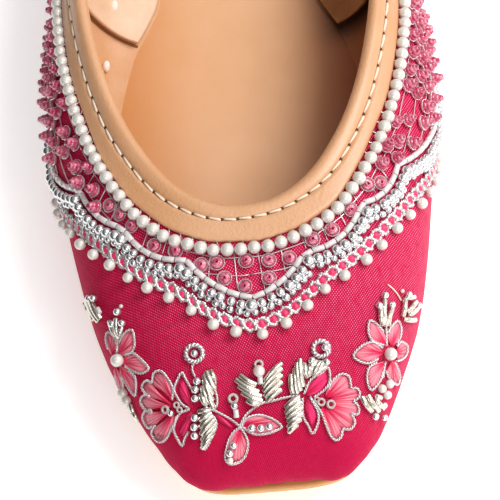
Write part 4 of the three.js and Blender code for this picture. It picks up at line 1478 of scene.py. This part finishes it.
def satin(base, outline, strand_mm=0.34, puff=0.45):
    """Strands of floss from a base out to an outline, puffed in the middle, with how far along each is."""
    base = np.asarray(base, float)
    curve = eased(outline, 10)
    lengths = run_along(curve)
    pixel_mm = 0.21
    count = max(5, int(lengths[-1] * pixel_mm / strand_mm))
    bodies, shares = [], []
    for k in range(count):
        at = (k + 0.5) / count * lengths[-1]
        tip = along_path(at, lengths, curve)
        tip = base + (tip - base) * (0.97 + rng.normal(0, 0.015))
        across_share = (k + 0.5) / count
        start = base + (tip - base) * rng.uniform(0.02, 0.14)
        bend = np.array([-(tip - base)[1], (tip - base)[0]]) * (across_share - 0.5) * 0.12
        t = np.linspace(0, 1, 9)[:, None]
        pixels = start + (tip - start) * t + bend * np.sin(np.pi * t)
        rise = 0.16 + puff * np.sin(np.pi * t[:, 0]) ** 0.7 * (0.55 + 0.45 * math.sin(math.pi * across_share))
        line, _ = on_vamp(pixels, rise + rng.uniform(-0.08, 0.08))
        width = strand_mm * np.interp(t[:, 0], [0, 0.2, 0.9, 1], [0.4, 0.5, 0.56, 0.4])
        bodies.append(tube(line, width, 5))
        tone = rng.uniform(-1, 1)
        shares.append(np.column_stack([np.repeat(t[:, 0], 5) * 0.9 - 0.16 * tone, np.full(45, tone)]))
    points, faces = gathered(bodies)
    return points, faces, np.concatenate(shares)


def floss(name, middle, tip, shadow):
    """Untwisted silk: shaded from a hot middle to paler tips, with a long silky light."""
    material, tree, surface = new_material(name)
    along = add_node(tree, "ShaderNodeAttribute", attribute_name="along")
    grown = add_node(tree, "ShaderNodeMapRange", {0: along.outputs["Fac"], 1: 0.15, 2: 0.72},
                     interpolation_type="SMOOTHSTEP")
    colour = two_tone(tree, grown.outputs[0], middle, tip)
    strand = add_node(tree, "ShaderNodeAttribute", attribute_name="strand")
    dark = add_node(tree, "ShaderNodeMapRange", {0: strand.outputs["Fac"], 1: -0.2, 2: 1.0, 3: 0.0, 4: 0.75})
    tree.links.new(two_tone(tree, dark.outputs[0], colour, shadow), surface.inputs["Base Color"])
    set_sockets(surface, {"Roughness": 0.4, "Specular IOR Level": 0.35, "Sheen Weight": 0.12,
                          "Sheen Tint": linear("#FFC0CC")})
    return material


coral_floss = floss("coral_silk_floss", "#EA0C54", "#FD94A6", "#CC184C")
hot_floss = floss("hot_pink_silk_floss", "#D80A4C", "#FF2F78", "#A80A3A")
for name, table, material in (("satin_petals", satin_petals, coral_floss),
                              ("satin_sepals", satin_sepals, hot_floss)):
    bodies = [satin(base, outline) for petals in table.values() for base, outline in petals]
    points, faces = gathered([(points, faces) for points, faces, _ in bodies])
    piece = make_mesh(name, points, faces, material)
    for column, attribute in enumerate(("along", "strand")):
        layer = piece.data.attributes.new(attribute, "FLOAT", "POINT")
        layer.data.foreach_set("value", np.concatenate([shares[:, column] for _, _, shares in bodies]))
    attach(piece, "root")

# Vamp embroidery: silver outlines
# Twisted silver cord couched round the petals, leaves and sepals, and as the stems between them.
cord_radius = 0.29
cord_lines = {
    "left_fan": [(172, 400), (173, 391), (171.5, 385), (166.5, 377), (161.5, 371.5), (157, 371),
                 (153, 374.5), (151.5, 383), (147, 380.5), (143.5, 383), (142, 388), (145, 393), (149.5, 397),
                 (147, 394.5), (143, 396), (140.5, 400), (141.5, 405), (145, 409.5), (148, 411.5)],
    "left_fan_low": [(145.5, 411), (143, 415), (143, 420), (145.7, 425), (149, 428), (154.5, 425.5),
                     (151.8, 432), (153.5, 437.5), (158, 441.7), (163.5, 441.3), (168, 436.5), (171, 429.5),
                     (174.5, 424), (176.5, 416.5)],
    "left_sepal_upper": [(189.5, 409), (181.6, 404), (177, 397), (174, 389.5), (177, 380.5), (181.6, 372.5),
                         (185, 378), (188.5, 384), (191.5, 389)],
    "left_sepal_lower": [(189, 409.5), (180, 413.5), (175.5, 422), (174, 431), (177.8, 439.5), (182.4, 445.8),
                         (184.5, 439), (188.5, 431.5)],
    "left_stalk": [(194, 362.5), (192, 369), (195, 377)],
    "left_leaf_edge": [(211.5, 370.5), (215, 377), (215.3, 390), (217, 397), (216.8, 405), (213, 410)],
    "left_leaf_low_edge": [(210, 413), (215, 419), (216.5, 425), (214, 433), (209, 443), (205, 450)],
    "stem": [(204, 407), (213.8, 410.3), (221.4, 414.2), (230.6, 419.3), (237.5, 424.5), (241, 429)],
    "branch": [(239.5, 427), (244.8, 416.6), (251, 410.4), (257.8, 405.5), (262.4, 403), (273.1, 400.8),
               (281.6, 398.4), (291.5, 396.5), (300, 395.5)],
    "branch_foot": [(251.5, 402.5), (257, 404.5), (263, 403)],
    "eye_leaf": [(241.5, 427), (244.5, 421), (249, 417.3), (259.4, 415), (268.6, 417.3), (276.2, 421.2),
                 (281.8, 426.5), (276.2, 430.5), (267, 433.6), (256.3, 434.4), (249.4, 432), (244.5, 428.5),
                 (241.5, 426)],
    "drop_leaf": [(240, 427), (233.4, 432.6), (228.8, 440.3), (226, 451), (225.3, 458.6), (230, 464),
                  (238, 462.8), (244.1, 458), (247.3, 450.2), (247.9, 441.8), (244.8, 434.2), (240.5, 427.5)],
    "right_sepal_upper": [(304, 394), (310.6, 380), (322.8, 372), (327.4, 366.7), (329.9, 374), (329, 383.6),
                          (322.8, 391.2), (313.7, 397.3)],
    "right_sepal_lower": [(302.5, 398), (303, 415.7), (308, 425), (312.9, 433.5), (318.3, 421.8),
                          (317.5, 411.1), (310.6, 398.5)],
    "right_long": [(310, 397), (321.3, 412.6), (327.4, 428.7), (332, 437.5), (337, 440), (341.5, 436),
                   (342.5, 429)],
    "right_fan": [(329, 390), (330.5, 383.6), (336.6, 376.7), (342.7, 373.8), (348.9, 376.5), (350.6, 383.6),
                  (351.4, 388.2), (356.5, 388), (359.8, 392.7), (358, 398.1), (353.5, 401.4), (357.3, 404.2),
                  (359, 409.6), (357.3, 414.4), (351, 413.4), (353.8, 418), (354.8, 423.3), (350.6, 428.9),
                  (345, 429), (342.5, 428)],
    "right_flower_1": [(384, 345), (373, 341), (368.3, 332), (369.5, 320.5), (376.4, 323.6), (384, 332)],
    "right_flower_2": [(388.5, 333), (390, 328), (397.4, 320.5), (401, 327), (400.5, 336), (397, 343)],
    "right_flower_3": [(383, 348), (377, 344), (371.6, 341.8), (362, 345.6), (353.3, 355.2), (359.1, 361),
                       (368.7, 363), (378.3, 358.5)],
    "right_flower_4": [(377, 362), (368.7, 368), (367, 380), (371.6, 390), (380.2, 380.5), (383.1, 370.5)],
    "right_flower_5": [(386, 371), (390, 379), (397.4, 384.5), (400, 378), (398.5, 370), (395, 362)],
    "right_flower_6": [(397, 346), (401.2, 341.5), (407.5, 346), (406.5, 354), (402, 359), (397, 361)],
    "right_flower_line": [(385.9, 326), (386.5, 335), (386.5, 346)],
    "right_flower_tail": [(385.5, 361), (384, 369), (383.1, 378)],
    "left_flower_1": [(119, 343), (124, 334), (131.8, 330), (134.5, 340.6), (133.5, 350), (128, 355)],
    "left_flower_2": [(125, 355), (132.4, 353), (141.3, 359.7), (148.6, 368.8), (140.7, 373.4), (131, 369.6),
                      (125, 366)],
    "left_flower_3": [(129, 370), (134.9, 377), (136.2, 387), (135, 396), (128, 387), (122, 376)],
    "left_flower_4": [(121, 376), (123.5, 385), (122, 392), (117.5, 385), (114.5, 375)],
    "left_flower_5": [(117, 345), (114, 336.5), (107.5, 332), (106, 340), (108, 349)],
    "left_flower_line": [(118, 338), (117.5, 346), (117, 353)],
}
outline_bodies = []
for pixels in cord_lines.values():
    line, normal = on_vamp(eased(pixels, 6), 0.62)
    outline_bodies.append(twisted(line, normal, cord_radius, 1.35, 0.25))
outlines = make_mesh("silver_cord_outlines", *gathered(outline_bodies), silver_thread)
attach(outlines, "root")

ring_cord_radius = 0.55
ring_bodies = []
for centre, radius in (((194.3, 353.7), 8.5), ((321, 348.8), 7.9)):
    turn_angle = np.linspace(0, 2 * math.pi, 33)
    pixels = np.array(centre) + radius * np.column_stack([np.cos(turn_angle), np.sin(turn_angle)])
    line, normal = on_vamp(pixels, ring_cord_radius)
    ring_bodies.append(twisted(line, normal, ring_cord_radius, 1.5))
rings = make_mesh("silver_cord_rings", *gathered(ring_bodies), silver_thread)
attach(rings, "root")

# Vamp embroidery: coiled wire
# Short lengths of fine coiled wire, cut and sewn on like long beads, side by side as leaves and wings.
leaf_radius = 0.62
coil_step = 5.6  # pixels from one piece of a leaf to the next
sprig_radius = {"left_edge": 0.78, "left_stripes": 0.72}
thin_sprig_radius = 0.56
coil_pitch = 0.4
coil_leaves = {  # pieces in order across each leaf; their number is worked out from the coil's width
    "left_leaf_upper": [((211, 371), (215, 379)), ((206, 372), (215, 389)), ((203.5, 377), (212, 396)),
                        ((206, 386), (213.5, 408)), ((202, 387), (209, 403)), ((201, 395), (206, 405))],
    "left_leaf_lower": [((210, 411), (199, 412)), ((211, 414), (200.5, 422)), ((213, 418), (200.5, 430)),
                        ((215, 421), (202, 437)), ((216, 426), (203, 443)), ((212, 436), (202.5, 448))],
    "wing_left": [((240.5, 375.5), (256, 384.5)), ((235.7, 379), (258, 391)), ((238, 385), (261, 395.5)),
                  ((241.5, 390.5), (262.5, 399.5)), ((243.5, 396), (261.5, 402.5)),
                  ((247.5, 401), (258.5, 404.5))],
    "wing_right": [((281.5, 363.5), (265.5, 380.5)), ((282, 370), (263.5, 388.5)), ((281.8, 377), (264, 393)),
                   ((281.8, 383.5), (265.5, 397.5)), ((281, 389.8), (267.5, 400.5))],
    "right_leaf_upper": [((291, 375), (293, 393.5)), ((295, 369), (297, 393.5)), ((297.3, 362), (301, 390)),
                         ((301, 358.3), (304, 385)), ((304.5, 364), (307, 377))],
    "right_leaf_lower": [((299, 397.3), (285.7, 407.5)), ((301, 402), (286, 412.8)),
                         ((301.6, 407.5), (287, 417)), ((302.2, 413.4), (288.5, 421)),
                         ((300.5, 419.5), (288.2, 427)), ((297, 425), (289, 432))],
    "right_stripes": [((362, 397), (371.5, 411)), ((366.5, 395), (377, 411.5)), ((371, 396), (381, 409)),
                      ((376, 399), (383, 408))],
}
coil_sprigs = {
    "right_bud": [((316.5, 361), (310.5, 373)), ((320.5, 362), (313.5, 374)), ((326, 367), (313, 376)),
                  ((311, 364), (308.5, 376)), ((324, 362), (318, 371)), ((314, 361), (309.5, 373))],
    "right_tulip": [((385, 300.5), (386, 326)), ((381, 308), (382.5, 325)), ((392.3, 309), (388.5, 325))],
    "right_rosette": [((403, 316), (405, 299)), ((404, 319), (415, 320)), ((407, 312), (416, 302)),
                      ((409, 315), (417, 309)), ((406, 298), (414, 297))],
    "left_tulip": [((109.5, 321.5), (116, 336)), ((122, 328), (118.5, 337.5)), ((116, 319), (117.5, 336))],
    "left_edge": [((87, 301), (99, 321)), ((90.5, 300), (100.5, 319)), ((84.5, 303), (94, 319))],
    "left_stripes": [((127, 403), (134, 415)), ((124, 404), (131, 417)), ((131, 405), (138, 421))],
}
coil_pieces = []
for name, pairs in coil_sprigs.items():
    coil_pieces += [(pair, sprig_radius.get(name, thin_sprig_radius)) for pair in pairs]
for pairs in coil_leaves.values():
    ends = np.array(pairs)
    across_leaf = run_along(ends.mean(axis=1))
    count = round(across_leaf[-1] / coil_step) + 1
    for at in np.linspace(0, across_leaf[-1], count):
        pair = [along_path(at, across_leaf, ends[:, end]) for end in (0, 1)]
        coil_pieces.append((pair, leaf_radius))


def coiled(path, radius, pitch, sides=10):
    """A close coil drawn as a rod with slanting ridges."""
    run = run_along(path)
    count = max(8, int(run[-1] / pitch * 4))
    at = np.linspace(0, run[-1], count)
    centre = along_path(at, run, path)
    points, faces = tube(centre, 1.0, sides)
    spokes = points.reshape(count, sides, 3) - centre[:, None]
    angle = np.arange(sides) * 2 * math.pi / sides
    ridge = radius * (1 + 0.012 * np.cos(2 * math.pi * at[:, None] / pitch - angle[None, :]))
    return (centre[:, None] + spokes * ridge[..., None]).reshape(-1, 3), faces


coil_wire = metal("tarnished_coil_wire", "#FBF7F0", "#CABFAC", 0.24, 0.88, 0.9)
coil_bodies = []
for (start, end), radius in coil_pieces:
    share = np.linspace(0, 1, 9)
    pixels = np.array(start) + (np.array(end) - np.array(start)) * share[:, None]
    bow = np.array([-(end[1] - start[1]), end[0] - start[0]]) * 0.05
    pixels = pixels + bow * np.sin(np.pi * share)[:, None]
    lift = 0.4 + 0.5 * np.sin(np.pi * share) + rng.uniform(0, 0.35)
    line, _ = on_vamp(pixels, lift)
    coil_bodies.append(coiled(line, radius, coil_pitch))
coils = make_mesh("coiled_wire_leaves", *gathered(coil_bodies), coil_wire)
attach(coils, "root")

# Vamp embroidery: beads and pearls
# Silver-lined seed beads, clear ring beads, short bugles and pearls sewn singly among the stitches.
# Each is given by its place in the photo's pixels and its diameter in millimetres.
loose_beads = {
    "silver": [(196.9, 381.3, 1.75), (195, 389.8, 1.75), (195, 398.8, 1.75), (194.6, 418, 1.75),
               (194.2, 427.4, 1.75), (194.6, 436, 1.7), (194.4, 353.6, 1.6), (234.5, 406, 1.7),
               (251.8, 428, 1.75), (260.9, 428.2, 1.75), (269.4, 426.5, 1.7), (233.6, 445.5, 1.6),
               (229.8, 453.4, 1.7), (325, 347.6, 1.6), (311.8, 360.4, 1.65), (326.7, 362.2, 1.6),
               (385, 295.4, 1.7), (379.2, 305.4, 1.6), (392.2, 304.9, 1.6), (408.9, 294.5, 1.5),
               (419, 305.5, 1.5), (384, 405.5, 1.5), (375.5, 416.5, 1.6), (384.5, 417.5, 1.5),
               (117.2, 312, 1.75), (121.8, 323.4, 1.7), (112, 324, 1.7), (93.2, 298.4, 1.6),
               (88.5, 298.6, 1.6), (170.9, 413.4, 1.4)],
    "pearl": [(390.8, 354, 2.7), (117, 360.4, 2.8), (259, 371, 2.45), (389.8, 384, 1.85),
              (382.3, 388.7, 1.8), (387.5, 395, 1.85), (126.5, 400.5, 2.3), (122.5, 393, 2.4),
              (230, 460.5, 1.4), (402.4, 291, 0.9), (121, 306.3, 0.9)],
    "ring": [(165.2, 409.6, 1.9), (176.5, 405, 1.5), (179.5, 409.8, 1.4), (233, 398.6, 2.3),
             (258.7, 364.3, 2.1), (321.3, 402, 1.8), (331, 404.2, 2.0), (150, 411.5, 1.3), (317, 399.5, 1.3)],
    "bugle": [(236.1, 413.8, 1.5), (260.2, 380.2, 1.5), (378.8, 397.2, 1.4), (98.8, 310.5, 1.3)],
}
bugle_headings = {0: (236.6, 418), 1: (260.7, 385), 2: (374, 396), 3: (102, 317)}
clear_glass, tree, surface = new_material("clear_silvery_glass")
# Clear glass with a grey-white look where it bends the cloth and the sky behind it
set_sockets(surface, {"Base Color": linear("#EFEBE6"), "Roughness": 0.08, "Transmission Weight": 0.45,
                      "IOR": 1.5})
shapes = {
    "silver": (ball(16, 12), silver_glass, (0.94, 1, 1), 0.45, "beadwork"),
    "pearl": (ball(18, 12), glass_pearl, (1, 1, 1), 0.5, "pearl"),
    "ring": (lathe(bead_profile(1.0, 0.42, -0.4, 0.4, 8), 16), clear_glass, (1, 1, 1), 0.5, "beadwork"),
    "bugle": (bugle_template, milk_glass, (1.1, 1.15, 1.15), 0.5, "beadwork"),
}
for kind, spots in loose_beads.items():
    template, material, stretch, seat_share, slot_name = shapes[kind]
    spots = np.array(spots)
    radius = spots[:, 2] / 2
    lift = radius * seat_share * 2 + 0.25 if kind != "ring" else np.full(len(spots), 0.75)
    centre, normal = on_vamp(spots[:, :2], lift)
    heading = rng.normal(0, 1, centre.shape)
    if kind == "bugle":
        targets, _ = on_vamp([bugle_headings[i] for i in range(len(spots))], lift)
        heading = targets - centre
    axes = bead_axes(heading, normal)
    sizes = radius[:, None] * np.array(stretch)
    piece = make_mesh("vamp_" + kind + "_beads", *many(template, centre, axes, sizes), material)
    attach(piece, "root")

# Loose thread
# One cream thread end left standing beside the right flower.
line, _ = on_vamp(eased([(387.8, 284.4), (393.6, 289.5), (398, 295), (401.2, 300.6)], 5), 0.3)
loose_thread = make_mesh("loose_thread_end", *tube(line, 0.17, 6), waxed_thread)
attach(loose_thread, "root")

low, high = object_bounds()
